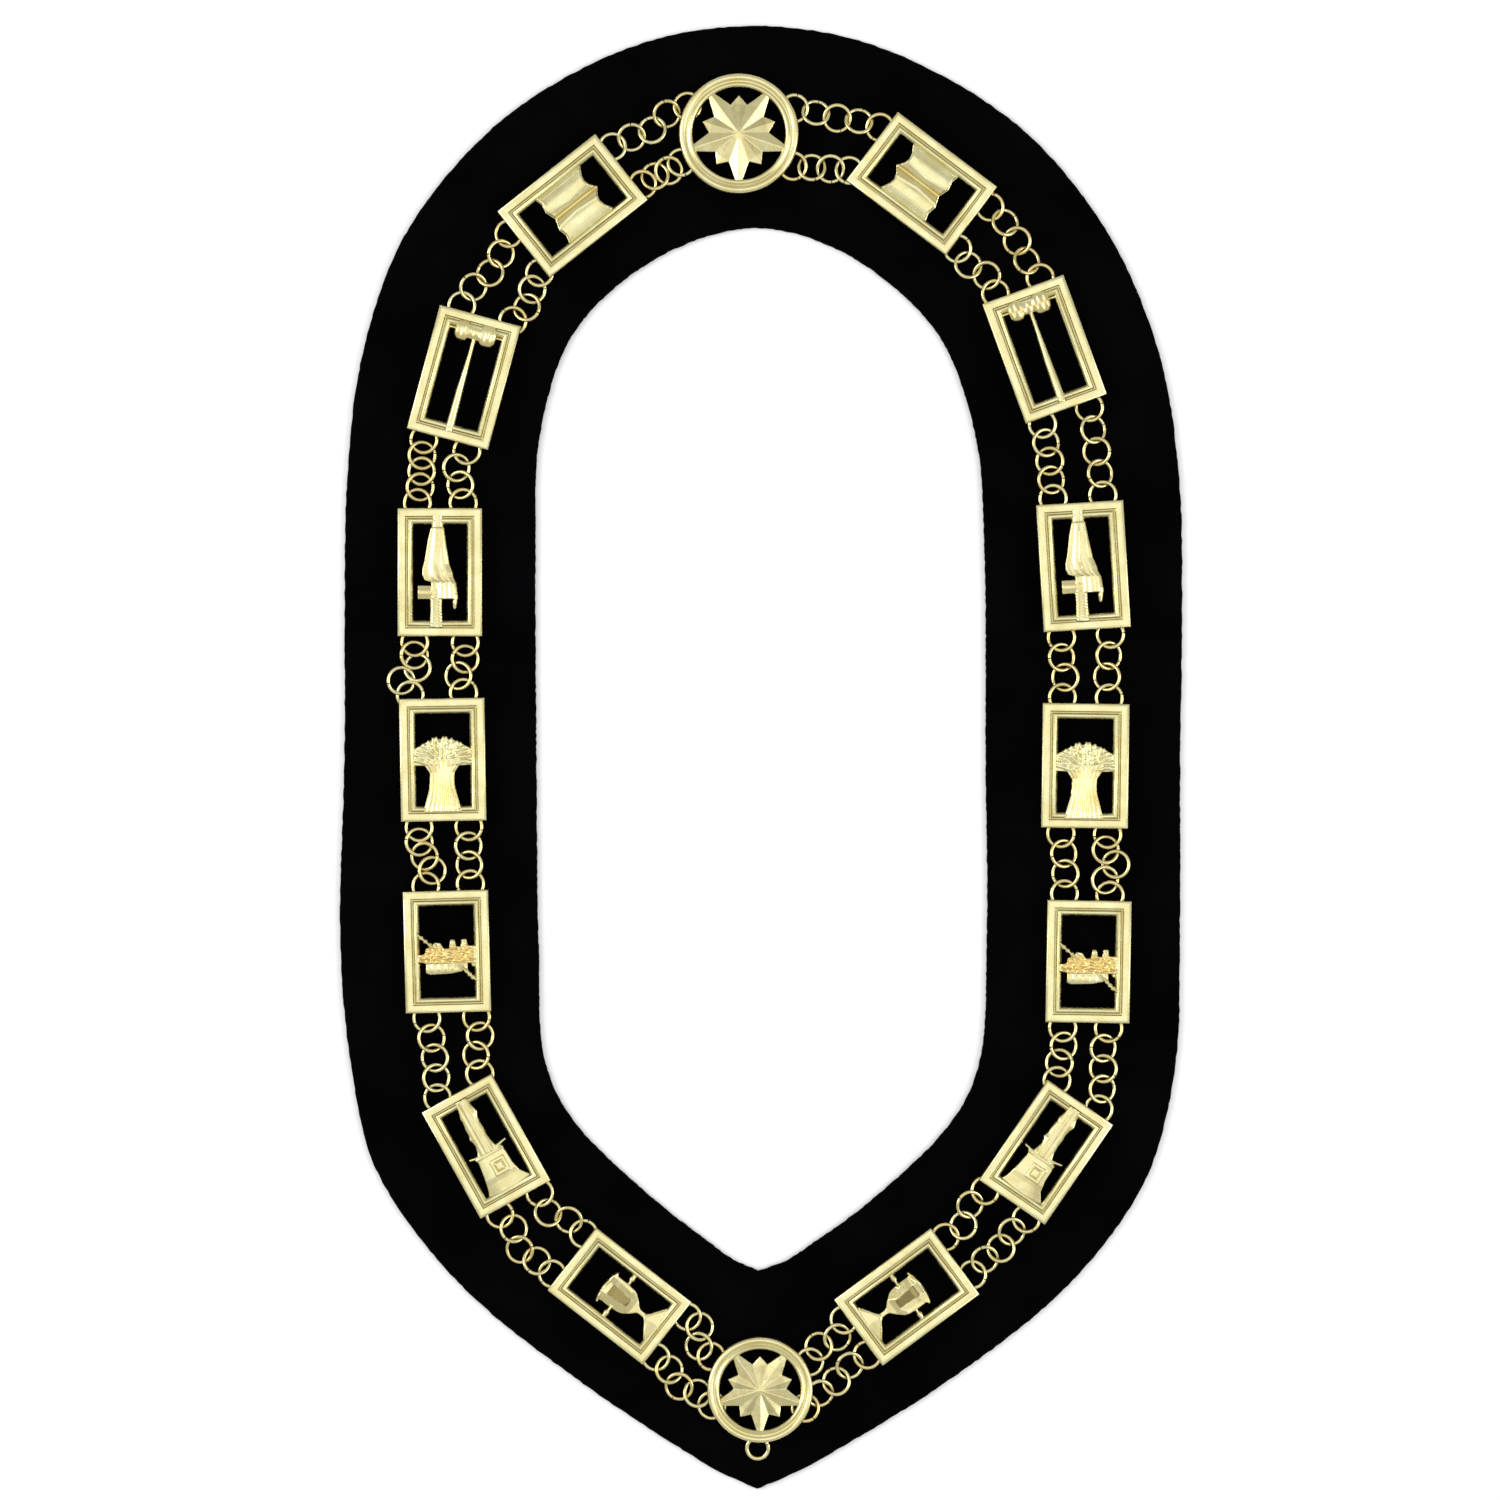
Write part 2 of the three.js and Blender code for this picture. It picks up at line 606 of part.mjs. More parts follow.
function medallionGeometry(medallion, headings) {
  const face = joined([rim(medallion.radius, medallion.rim), star(medallion.radius)]);
  face.translate(medallion.x, medallion.y, PLATE_BASE);
  const hooks = Object.keys(medallion.hooks).map((key) => {
    const at = medallionHook(medallion, key);
    return hook(at.x, at.y, headings[key]);
  });
  if (medallion.pendantLean) {
    const at = pendantHook(medallion);
    hooks.push(hook(at.x, at.y, -90, PENDANT_HOOK_LENGTH, PENDANT_HOOK_WIRE));
  }
  return joined([face, ...hooks]);
}

// ---------------------------------------------------------------- chain runs

/** The two hooks that a run joins; `line` is 'outer' or 'inner'. */
function runHooks(side, gap, line) {
  const plaques = PLAQUES[side];
  const outward = side === 'left' ? -1 : 1;
  const across = line === 'outer' ? outward : -outward;
  const key = side + (line === 'outer' ? 'Outer' : 'Inner');
  const start = gap === 0
    ? medallionHook(MEDALLIONS.nape, key)
    : plaqueHook(plaques[gap - 1], -1, across);
  const end = gap === plaques.length
    ? medallionHook(MEDALLIONS.breast, key)
    : plaqueHook(plaques[gap], 1, across);
  return { start, end };
}

/** Middle line of a run between its hooks, bowed and swayed away from the straight. */
function runLine(side, gap, line) {
  const { start, end } = runHooks(side, gap, line);
  const row = RUNS[side][gap];
  const bow = line === 'outer' ? row.outerBow : row.innerBow;
  const sway = line === 'outer' ? row.outerSway : row.innerSway;
  const along = end.clone().sub(start);
  const length = along.length();
  along.normalize();
  const outward = new THREE.Vector2(-along.y, along.x);
  const middle = start.clone().add(end).multiplyScalar(0.5);
  if (outward.dot(middle) < 0) {
    outward.negate();
  }
  const points = [];
  for (let i = 0; i <= CHAIN_STEPS; i += 1) {
    const share = i / CHAIN_STEPS;
    const reach = THREE.MathUtils.lerp(CHAIN_FROM_HOOK, length - CHAIN_FROM_HOOK, share);
    const aside = bow * Math.sin(Math.PI * share) + sway * Math.sin(2 * Math.PI * share);
    const at = start.clone().addScaledVector(along, reach).addScaledVector(outward, aside);
    points.push(new THREE.Vector3(at.x, at.y, VELVET_THICKNESS + GAP + CHAIN_THICK / 2));
  }
  return points;
}

function runGeometry(side, gap, line) {
  const shape = new THREE.Shape();
  for (let i = 0; i < CHAIN_FACETS; i += 1) {
    const turn = (2 * Math.PI * (i + 0.5)) / CHAIN_FACETS;
    const stretch = 1 / Math.cos(Math.PI / CHAIN_FACETS);
    const x = (Math.cos(turn) * stretch * CHAIN_THICK) / 2;
    const y = (Math.sin(turn) * stretch * CHAIN_WIDE) / 2;
    if (i === 0) {
      shape.moveTo(x, y);
    } else {
      shape.lineTo(x, y);
    }
  }
  const path = new THREE.CatmullRomCurve3(runLine(side, gap, line));
  return new THREE.ExtrudeGeometry(shape, {
    steps: CHAIN_STEPS,
    extrudePath: path,
    bevelEnabled: false,
  });
}

function headingsFor(end) {
  const headings = {};
  for (const side of ['left', 'right']) {
    for (const line of ['outer', 'inner']) {
      const gap = end === 'nape' ? 0 : PLAQUES[side].length;
      const hooks = runHooks(side, gap, line);
      const along = hooks.end.clone().sub(hooks.start);
      headings[side + (line === 'outer' ? 'Outer' : 'Inner')] = THREE.MathUtils.radToDeg(along.angle());
    }
  }
  return headings;
}

// ---------------------------------------------------------------- velvet

/** Points at even distances along a polyline, both ends kept. */
function evenly(points, count) {
  const lengths = [0];
  for (let i = 1; i < points.length; i += 1) {
    lengths.push(lengths[i - 1] + points[i].distanceTo(points[i - 1]));
  }
  const picked = [];
  let at = 1;
  for (let k = 0; k <= count; k += 1) {
    const wanted = (lengths[lengths.length - 1] * k) / count;
    while (at < points.length - 1 && lengths[at] < wanted) {
      at += 1;
    }
    const share = (wanted - lengths[at - 1]) / (lengths[at] - lengths[at - 1]);
    picked.push(points[at - 1].clone().lerp(points[at], share));
  }
  return picked;
}

/** Closed outline through the rows of one edge and their mirror images, from the nape round. */
function outline(rows) {
  const right = rows.map((row) => new THREE.Vector3(row.lean + row.out, row.up, 0));
  const left = rows.slice(1, -1).reverse()
    .map((row) => new THREE.Vector3(row.lean - row.out, row.up, 0));
  const curve = new THREE.CatmullRomCurve3([...right, ...left], true, 'centripetal');
  const dense = curve.getPoints((right.length + left.length) * 12);
  const half = (right.length - 1) * 12;
  const down = evenly(dense.slice(0, half + 1), VELVET_STEPS);
  const up = evenly(dense.slice(half), VELVET_STEPS);
  return [...down.slice(0, -1), ...up.slice(0, -1)];
}

/** Band of velvet between the two edges, its upper corners softened. */
function velvetGeometry() {
  const outer = outline(OUTER_EDGE);
  const inner = outline(INNER_EDGE);
  const shoulder = VELVET_THICKNESS - VELVET_ROLL;
  const rings = outer.map((far, i) => {
    const near = inner[i];
    const inward = near.clone().sub(far).normalize().multiplyScalar(VELVET_ROLL);
    const at = (point, z) => new THREE.Vector3(point.x, point.y, z);
    return [
      at(far, 0),
      at(far, shoulder),
      at(far.clone().add(inward), VELVET_THICKNESS),
      at(near.clone().sub(inward), VELVET_THICKNESS),
      at(near, shoulder),
      at(near, 0),
    ];
  });
  return loft(rings, true);
}

/** Plain ring for a badge, leaning up to its staple. */
function pendantRing() {
  const profile = [];
  for (let i = 0; i <= PENDANT_FACETS; i += 1) {
    const turn = (2 * Math.PI * i) / PENDANT_FACETS;
    profile.push(new THREE.Vector2(
      PENDANT_RADIUS + (Math.cos(turn) * PENDANT_WIRE) / 2,
      (Math.sin(turn) * PENDANT_WIRE) / 2,
    ));
  }
  const geometry = new THREE.LatheGeometry(profile, PENDANT_STEPS);
  geometry.rotateX(Math.PI / 2 + degrees(PENDANT_TILT));
  const at = pendantHook(MEDALLIONS.breast);
  const rest = VELVET_THICKNESS + GAP + PENDANT_WIRE / 2;
  const up = rest + PENDANT_RADIUS * Math.sin(degrees(PENDANT_TILT));
  geometry.translate(at.x, at.y - PENDANT_RADIUS, up);
  return geometry;
}

// ---------------------------------------------------------------- the whole

const part = new THREE.Group();
part.name = 'chain_of_office';

part.add(node('velvet_backing', velvetGeometry(), velvet));

for (const side of ['left', 'right']) {
  const row = new THREE.Group();
  row.name = `${side}_row`;
  PLAQUES[side].forEach((plaque, i) => {
    row.add(node(`plaque_${side}_${i + 1}_${plaque.emblem}`, plaqueGeometry(plaque), gold));
  });
  for (let gap = 0; gap <= PLAQUES[side].length; gap += 1) {
    for (const line of ['outer', 'inner']) {
      row.add(node(`chain_${side}_${gap + 1}_${line}`, runGeometry(side, gap, line), gold));
    }
  }
  part.add(row);
}

part.add(node('medallion_nape', medallionGeometry(MEDALLIONS.nape, headingsFor('nape')), gold));
part.add(node('medallion_breast', medallionGeometry(MEDALLIONS.breast, headingsFor('breast')), gold));
part.add(node('pendant_ring', pendantRing(), gold));

export default part;
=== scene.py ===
import math

import bpy
import numpy as np
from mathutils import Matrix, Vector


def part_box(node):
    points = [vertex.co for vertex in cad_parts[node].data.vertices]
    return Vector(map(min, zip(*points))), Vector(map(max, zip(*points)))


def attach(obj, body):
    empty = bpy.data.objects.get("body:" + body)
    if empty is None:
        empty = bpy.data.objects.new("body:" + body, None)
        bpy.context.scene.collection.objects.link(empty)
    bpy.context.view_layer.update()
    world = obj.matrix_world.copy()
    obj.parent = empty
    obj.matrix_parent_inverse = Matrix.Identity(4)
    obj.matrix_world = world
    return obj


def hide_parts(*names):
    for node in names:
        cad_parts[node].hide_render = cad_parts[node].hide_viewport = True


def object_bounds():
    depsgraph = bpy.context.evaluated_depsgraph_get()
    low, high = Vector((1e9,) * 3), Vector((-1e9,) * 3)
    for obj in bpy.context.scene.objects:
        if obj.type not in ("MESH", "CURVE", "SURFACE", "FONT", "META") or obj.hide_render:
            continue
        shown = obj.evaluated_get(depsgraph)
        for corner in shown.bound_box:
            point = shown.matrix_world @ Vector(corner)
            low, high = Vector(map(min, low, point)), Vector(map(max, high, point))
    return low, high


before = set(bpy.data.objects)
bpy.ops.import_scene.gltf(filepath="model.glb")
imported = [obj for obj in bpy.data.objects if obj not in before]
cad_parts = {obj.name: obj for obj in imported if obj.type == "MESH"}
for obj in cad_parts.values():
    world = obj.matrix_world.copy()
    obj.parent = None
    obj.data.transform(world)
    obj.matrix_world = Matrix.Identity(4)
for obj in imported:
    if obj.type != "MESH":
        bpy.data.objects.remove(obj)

import openvdb
from mathutils import Vector

cad_low, cad_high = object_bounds()

MM = 0.001
SEED = 11
VOXEL = 0.22
FAR = 50.0

# ---------------------------------------------------------------- sizes, as in the frame

NOMINAL_WIDE = 32.3
NOMINAL_TALL = 47.3
BAR_WIDTH = 6.0
OPEN_X = NOMINAL_WIDE / 2 - BAR_WIDTH
OPEN_Y = NOMINAL_TALL / 2 - BAR_WIDTH
PLATE_BASE = 6.0
RELIEF_BACK = 0.3
INTO_BAR = 1.0

HOOK_SPREAD = 9.5
HOOK_INSIDE = 2.8
HOOK_HALF = 1.25
HOOK_WIRE = 0.4
HOOK_FOOT = 3.15
RING_REACH = 5.0
RING_WIRE = 0.72
RING_LEVEL = 4.55
RING_TAUT = 8.3
END_TILT = math.radians(8.0)
WIRE_CLEARANCE = 0.12
SEAM_GAP = 0.32
LEAST_TILT = 0.17
MOST_TILT = 0.6
SETTLING_STEPS = 60

PENDANT_WIRE = 0.85
PENDANT_TILT = math.radians(6.6)
PENDANT_SEAM = 0.4

# The velvet: steps between the frame's points, steps across, and its rolled and tufted edge.
VELVET_STEPS = 9
VELVET_SHOULDER = 1.7
VELVET_ACROSS = 26
VELVET_EDGE = 1.1
VELVET_TUFTS = 0.35
VELVET_TOP = 2.4

SIDES = ("left", "right")
LINES = ("outer", "inner")
EMBLEMS = ("book", "gavel", "sword", "sheaf", "crown", "column", "cup")

# Angle round each medallion, in degrees, of the staple that each run of rings hangs from.
MEDALLIONS = {
    "nape": {"rim": 5.2, "hook_inside": 3.3, "left_outer": 140, "left_inner": 204,
             "right_outer": 34, "right_inner": -37},
    "breast": {"rim": 4.7, "hook_inside": 2.7, "left_outer": 213, "left_inner": 148,
               "right_outer": -38, "right_inner": 20},
}

# How far outward each ring between a run's two end rings lies, gap by gap from the nape.
RING_ASIDES = {
    "left_outer": [(1.5, -1.5, -0.3), (-2.5, -3.0, 0.2), (0.0, -0.5, -0.6), (0.6, -0.5, 5.8),
                   (0.2, -1.7, -4.5), (-1.2, -1.4, -0.9), (-0.4, 3.4, 1.5), (0.4, 2.8, 0.1)],
    "left_inner": [(-0.4, 0.5), (-1.5, -3.3), (5.4, 3.2), (0.4, 3.1),
                   (0.6, 0.4), (-1.1, 1.2), (4.8, 0.7), (-2.5, 2.4)],
    "right_outer": [(0.5, -0.5, 1.5), (2.5, 1.8, -1.3), (0.8, -0.2, 1.1), (-0.9, -1.5),
                    (-1.9, 1.6, -2.8), (-1.6, -0.4, 0.3), (-1.0, 0.4, -1.0), (-1.9, -0.6, -1.1)],
    "right_inner": [(0.0, 0.0), (-0.8, 2.4), (0.6, 1.0, 0.5), (0.2, 1.7),
                    (1.1, 1.3), (1.6, 0.6), (-0.8, 3.0), (2.9, -0.9)],
}

# Section of a plaque's bar, from its outer edge inward.
BAR_MOULDING = [
    (0.00, 0.00), (0.00, 1.75), (0.12, 2.10), (0.40, 2.36), (0.90, 2.50), (1.80, 2.54),
    (2.50, 2.46), (2.95, 2.32), (3.15, 1.90), (3.30, 1.42), (3.75, 1.42), (3.92, 1.86),
    (4.12, 2.20), (4.36, 2.44), (4.66, 2.50), (4.96, 2.38), (5.35, 1.98), (5.75, 1.52),
    (5.95, 1.22), (6.00, 1.02), (6.00, 0.00),
]

# Section of a medallion's rim: share of its width inward, and height.
RIM_MOULDING = [
    (0.00, 0.00), (0.00, 1.70), (0.04, 2.15), (0.12, 2.55), (0.24, 2.72), (0.38, 2.60),
    (0.47, 2.30), (0.52, 1.98), (0.60, 1.92), (0.66, 2.10), (0.72, 2.40), (0.81, 2.50),
    (0.90, 2.30), (0.97, 1.85), (1.00, 1.50), (1.00, 0.00),
]

STAR = {"tip": 0.96, "notch": 0.50, "short": 0.64, "notch_angle": 20.0,
        "centre_up": 3.25, "tip_up": 1.75, "notch_up": 1.15, "short_up": 1.35}

# ---------------------------------------------------------------- meshes


def make_piece(name, points, faces, material, sharp=38.0):
    """A new object from points in millimetres, smooth but for edges over `sharp` degrees."""
    mesh = bpy.data.meshes.new(name)
    mesh.from_pydata((np.asarray(points, float) * MM).tolist(), [], [list(f) for f in faces])
    mesh.validate()
    mesh.shade_smooth()
    mesh.set_sharp_from_angle(angle=math.radians(sharp))
    piece = bpy.data.objects.new(name, mesh)
    bpy.context.scene.collection.objects.link(piece)
    if material:
        mesh.materials.append(material)
    return piece


def ring_faces(rings, count, closed_along, closed_round=True):
    """Quads over a grid of points: `rings` rows of `count` points."""
    faces = []
    for i in range(rings if closed_along else rings - 1):
        here, there = i * count, ((i + 1) % rings) * count
        for k in range(count if closed_round else count - 1):
            after = (k + 1) % count
            faces.append((here + k, here + after, there + after, there + k))
    return faces


def facing_out(points, faces):
    """The faces, turned over where their shell is inside out."""
    points = np.asarray(points, float)
    quads = np.array([(f + (f[-1],))[:4] for f in faces])
    a, b, c, d = (points[quads[:, k]] for k in range(4))
    volume = np.einsum("ij,ij->i", a, np.cross(b, c) + np.cross(c, d)).sum()
    return faces if volume > 0 else [tuple(reversed(f)) for f in faces]


def swept(path, radius, sides, closed, sideways=(0.0, 0.0, 1.0)):
    """Points and faces of a round wire along a path."""
    path = np.asarray(path, float)
    if closed:
        along = np.roll(path, -1, 0) - np.roll(path, 1, 0)
    else:
        along = np.gradient(path, axis=0)
    along /= np.linalg.norm(along, axis=1)[:, None]
    aside = np.cross(along, sideways)
    aside /= np.linalg.norm(aside, axis=1)[:, None]
    up = np.cross(aside, along)
    turn = np.arange(sides) * 2 * math.pi / sides
    around = aside[:, None] * np.cos(turn)[:, None] + up[:, None] * np.sin(turn)[:, None]
    points = (path[:, None] + around * radius).reshape(-1, 3)
    faces = ring_faces(len(path), sides, closed)
    if not closed:
        last = (len(path) - 1) * sides
        faces.append(tuple(reversed(range(sides))))
        faces.append(tuple(range(last, last + sides)))
    return points, facing_out(points, faces)


def combined(parts):
    """One set of points and faces from several."""
    points, faces, start = [], [], 0
    for part_points, part_faces in parts:
        points.append(part_points)
        faces += [tuple(start + k for k in face) for face in part_faces]
        start += len(part_points)
    return np.concatenate(points), faces


def fused(pieces, name):
    """The pieces joined into one closed solid."""
    first, others = pieces[0], pieces[1:]
    for other in others:
        join = first.modifiers.new("join", "BOOLEAN")
        join.operation = "UNION"
        join.solver = "MANIFOLD"
        join.object = other
    bpy.context.view_layer.update()
    mesh = bpy.data.meshes.new_from_object(first.evaluated_get(bpy.context.evaluated_depsgraph_get()))
    first.modifiers.clear()
    first.data = mesh
    first.name = mesh.name = name
    for other in others:
        bpy.data.objects.remove(other)
    mesh.shade_smooth()
    mesh.set_sharp_from_angle(angle=math.radians(38.0))
    return first


# ---------------------------------------------------------------- relief, carved as a distance field


def soft_least(a, b, blend):
    """The smaller of two fields, rounded where they meet."""
    share = np.clip(0.5 + 0.5 * (b - a) / blend, 0.0, 1.0)
    return b + (a - b) * share - blend * share * (1.0 - share)


def soft_most(a, b, blend):
    return -soft_least(-a, -b, blend)


class Relief:
    """A casting on a grid in millimetres, flat behind, from smoothly joined rods and sheets."""

    def __init__(self, half_x, half_y, top):
        self.low = np.array([-half_x, -half_y, -0.4])
        self.step = VOXEL
        steps = [np.arange(a, b, VOXEL, dtype=np.float32) for a, b in zip(self.low, (half_x, half_y, top))]
        self.x, self.y = np.meshgrid(steps[0], steps[1], indexing="ij")
        self.z = steps[2]
        self.field = np.full(self.x.shape + (len(self.z),), FAR, np.float32)

    def add(self, field, blend):
        self.field = soft_least(self.field, field.astype(np.float32), blend)

    def cut(self, field, blend):
        self.field = soft_most(self.field, -field.astype(np.float32), blend)

    def along(self, rows):
        """Distance in plan to a line through rows of (x, y, half, rise), with its half and rise there."""
        best, half, rise = None, None, None
        for (x0, y0, h0, r0), (x1, y1, h1, r1) in zip(rows, rows[1:]):
            dx, dy = x1 - x0, y1 - y0
            share = ((self.x - x0) * dx + (self.y - y0) * dy) / (dx * dx + dy * dy)
            share = np.clip(share, 0.0, 1.0)
            reach = np.hypot(self.x - x0 - share * dx, self.y - y0 - share * dy)
            wide = h0 + (h1 - h0) * share
            score = reach / wide
            if best is None:
                best, half, rise = score, wide, r0 + (r1 - r0) * share
            else:
                nearer = score < best
                best = np.where(nearer, score, best)
                half = np.where(nearer, wide, half)
                rise = np.where(nearer, r0 + (r1 - r0) * share, rise)
        return best, half, rise

    def rod(self, rows, base=0.6, blend=0.25):
        """Round-topped ridge along rows of (x, y, half, rise)."""
        share, half, rise = self.along(rows)
        up = np.maximum(self.z[None, None, :] - base, 0.0) / rise[:, :, None]
        field = (np.hypot(share[:, :, None], up) - 1.0) * np.minimum(half, rise)[:, :, None]
        self.add(field, blend)

    def sheet(self, edge, top, blend=0.25, rounding=0.35):
        """Sheet inside `edge` (negative within), its upper face at the height `top`."""
        over = self.z[None, None, :] - top[:, :, None]
        self.add(soft_most(np.broadcast_to(edge[:, :, None], over.shape), over, rounding), blend)

    def knob(self, x, y, z, radius, blend=0.15):
        across = np.hypot(self.x - x, self.y - y)[:, :, None]
        field = np.hypot(across, self.z[None, None, :] - z) - radius
        self.add(field, blend)

    def mesh(self):
        """Points and faces of the finished casting."""
        behind = RELIEF_BACK - self.z[None, None, :]
        solid = np.maximum(self.field, behind).astype(np.float32)
        grid = openvdb.FloatGrid()
        grid.background = FAR
        grid.copyFromArray(solid)
        points, _, quads = grid.convertToPolygons(0.0)
        points = points * self.step + self.low
        return points, facing_out(points, [tuple(int(k) for k in q) for q in quads])


def between(values, keys, result):
    return np.interp(values, keys, result)


# ---------------------------------------------------------------- emblems, +y toward the nape


def grains(r, spacing, size, height, seed):
    """Height of small round grains strewn over the plan."""
    rng = np.random.default_rng(seed)
    up = np.zeros(r.x.shape)
    for x in np.arange(-OPEN_X - 1.0, OPEN_X + 1.0, spacing):
        for y in np.arange(-OPEN_Y, OPEN_Y, spacing):
            at_x, at_y = x + rng.uniform(-0.5, 0.5) * spacing, y + rng.uniform(-0.5, 0.5) * spacing
            share = 1.0 - ((r.x - at_x) ** 2 + (r.y - at_y) ** 2) / size ** 2
            up = np.maximum(up, height * np.sqrt(np.clip(share, 0, 1)))
    return up


def book(r):
    """Open book whose arched pages reach both side bars."""
    out = np.abs(r.x)
    top_edge = between(out, (0, 0.6, 2.6, 4.8, 7.0, 9.0, 11.2), (12.0, 11.5, 10.0, 9.4, 9.9, 11.0, 12.2))
    low_edge = between(out, (0, 1.6, 4.2, 7.4, 11.2), (-8.2, -8.8, -9.6, -8.9, -9.9))
    edge = np.maximum(r.y - top_edge, low_edge - r.y)
    arch = 1.15 + 1.9 * np.sin(math.pi * np.clip((out + 0.3) / 11.0, 0, 1)) ** 0.8
    gutter = 0.9 * np.exp(-((out / 0.6) ** 2))
    curl = 0.25 * np.clip((np.abs(r.y) - 6.0) / 4.0, 0, 1) ** 2
    leaves = 0.1 * np.cos(out * 2 * math.pi / 0.6) * np.clip((out - 8.0) / 0.6, 0, 1)
    fold = 0.28 * np.exp(-(((out - 2.2 - 0.1 * np.abs(r.y)) / 0.45) ** 2))
    r.sheet(edge + 0.5, arch - gutter + curl + leaves + fold)
    r.sheet(edge, np.full(r.x.shape, 1.05), rounding=0.2)


def gavel(r):
    """Turned head lying on the top bar, with a long handle down to the bottom bar."""
    half = between(r.x, (-8.2, -7.9, -7.0, -5.0, -3.4, -2.6, 1.7, 2.5, 3.8, 6.6, 7.8, 8.2),
                   (0.6, 2.6, 3.7, 4.1, 3.9, 2.9, 2.9, 3.9, 4.3, 4.1, 3.0, 0.6))
    across = (r.y - 17.0) / half
    bands = 0.16 * np.cos((r.x + 0.1) * 2 * math.pi / 2.3)
    up = 0.8 + (2.3 * (half / 4.2) ** 0.4 + bands) * np.sqrt(np.clip(1 - across ** 2, 0, 1))
    r.sheet((np.abs(across) - 1.0) * half, up, rounding=0.3)
    r.rod([(-0.1, 15.0, 0.95, 1.5), (-0.1, 9.0, 0.95, 1.5), (-0.2, 2.0, 1.25, 1.6), (-0.35, -5.0, 1.5, 1.7),
           (-0.35, -12.0, 1.65, 1.8), (-0.35, -OPEN_Y - 2.4, 1.85, 1.9)], blend=0.35)


def sword(r):
    """Upright sword under a veil, its guard showing to one side and the veil's tail to the other."""
    r.rod([(-0.9, OPEN_Y + 4.4, 2.5, 1.9), (-1.0, -2.0, 2.5, 2.1)], blend=0.2)
    left = between(-r.y, (-17, -12, -8, -4, -1.5, 1.0, 3.0, 3.6, 11),
                   (-3.3, -4.6, -5.2, -5.9, -6.6, -6.7, -5.8, -3.4, -3.0))
    right = between(-r.y, (-17, -10, -7, -3, 0, 2, 4, 8, 11), (1.6, 2.6, 3.1, 3.7, 4.9, 5.3, 6.3, 6.8, 7.1))
    edge = np.maximum(np.maximum(left - r.x, r.x - right), np.maximum(r.y - 16.4, -9.9 - r.y))
    fall = (r.x - left) / np.maximum(right - left, 0.5)
    depth = between(-r.y, (-16, -6, 4), (0.08, 0.22, 0.32))
    folds = depth * np.cos(fall * 2 * math.pi * 2.5 + 0.35 * np.sin(r.y * 0.4))
    swell = 0.75 * np.sin(math.pi * np.clip(fall, 0, 1)) ** 0.7
    r.sheet(edge, 2.2 + swell + folds, blend=0.3, rounding=0.45)
    bar = np.maximum(np.abs(r.x + 3.4) - 5.0, np.abs(r.y + 7.4) - 2.55)
    r.sheet(bar, 2.35 + 0.3 * np.cos((r.y + 7.4) * 1.25), blend=0.3, rounding=0.6)
    wrap = 0.07 * np.cos((r.y + 0.35 * r.x) * 2 * math.pi / 1.15)
    grip_half = between(r.y, (-20.6, -17.6, -13.5, -9.0), (2.6, 2.5, 2.3, 2.4))
    across = np.clip((r.x + 1.4) / grip_half, -1, 1)
    edge = np.maximum(np.abs(r.x + 1.4) - grip_half, np.maximum(r.y + 9.0, -20.4 - r.y))
    r.sheet(edge, 1.5 + 1.1 * np.sqrt(1 - across ** 2) + wrap, blend=0.3)
    r.rod([(5.9, -8.6, 1.2, 1.9), (5.7, -11.4, 1.1, 1.7), (5.6, -13.0, 0.8, 1.3)])


def sheaf(r):
    """Sheaf of corn: ears fanned out to both side bars over gathered stems."""
    middle = -0.3
    waist = between(r.y, (-21, -17.6, -14, -11, -8, -5, -2.4, 0), (7.6, 6.7, 5.7, 4.9, 4.6, 4.7, 6.4, 8.4))
    edge = np.maximum(np.abs(r.x - middle) - waist, np.maximum(r.y - 0.5, -OPEN_Y - 2.4 - r.y))
    across = np.clip((r.x - middle) / waist, -1, 1)
    strand = 0.13 * np.cos(across * math.pi * 8.0 + 0.5 * np.sin(r.y * 0.55))
    r.sheet(edge, 2.0 + 0.75 * np.sqrt(1 - across ** 2) + strand)
    out = np.abs(r.x)
    dome = between(out, (0, 3, 5, 7, 9, 11.2), (8.0, 7.9, 7.3, 6.4, 5.2, 3.9))
    low = between(out, (0, 5.5, 11.2), (-3.2, -2.3, -2.1))
    fan = np.maximum(r.y - dome, low - r.y)
    up = np.zeros(r.x.shape)
    rng = np.random.default_rng(SEED + 3)
    for share, count in ((0.30, 6), (0.44, 8), (0.57, 10), (0.70, 13), (0.82, 15), (0.935, 17)):
        for k in range(count):
            lean = math.radians(((k + 0.5) / count - 0.5) * 164.0 + rng.uniform(-2.5, 2.5))
            far = share + rng.uniform(-0.012, 0.012)
            at_x, at_y = 10.9 * far * math.sin(lean), -3.0 + 11.5 * far * math.cos(lean)
            along = (r.x - at_x) * math.sin(lean) + (r.y - at_y) * math.cos(lean)
            aside = (r.x - at_x) * math.cos(lean) - (r.y - at_y) * math.sin(lean)
            share_out = np.hypot(along / 1.45, aside / 0.78)
            up = np.maximum(up, 0.6 * np.sqrt(np.clip(1 - share_out ** 2, 0, 1)))
            fan = np.minimum(fan, (share_out - 1.0) * 0.78)
    r.sheet(fan, 1.85 + 0.35 * np.cos(out / 11.2 * 1.5) + up, rounding=0.3)


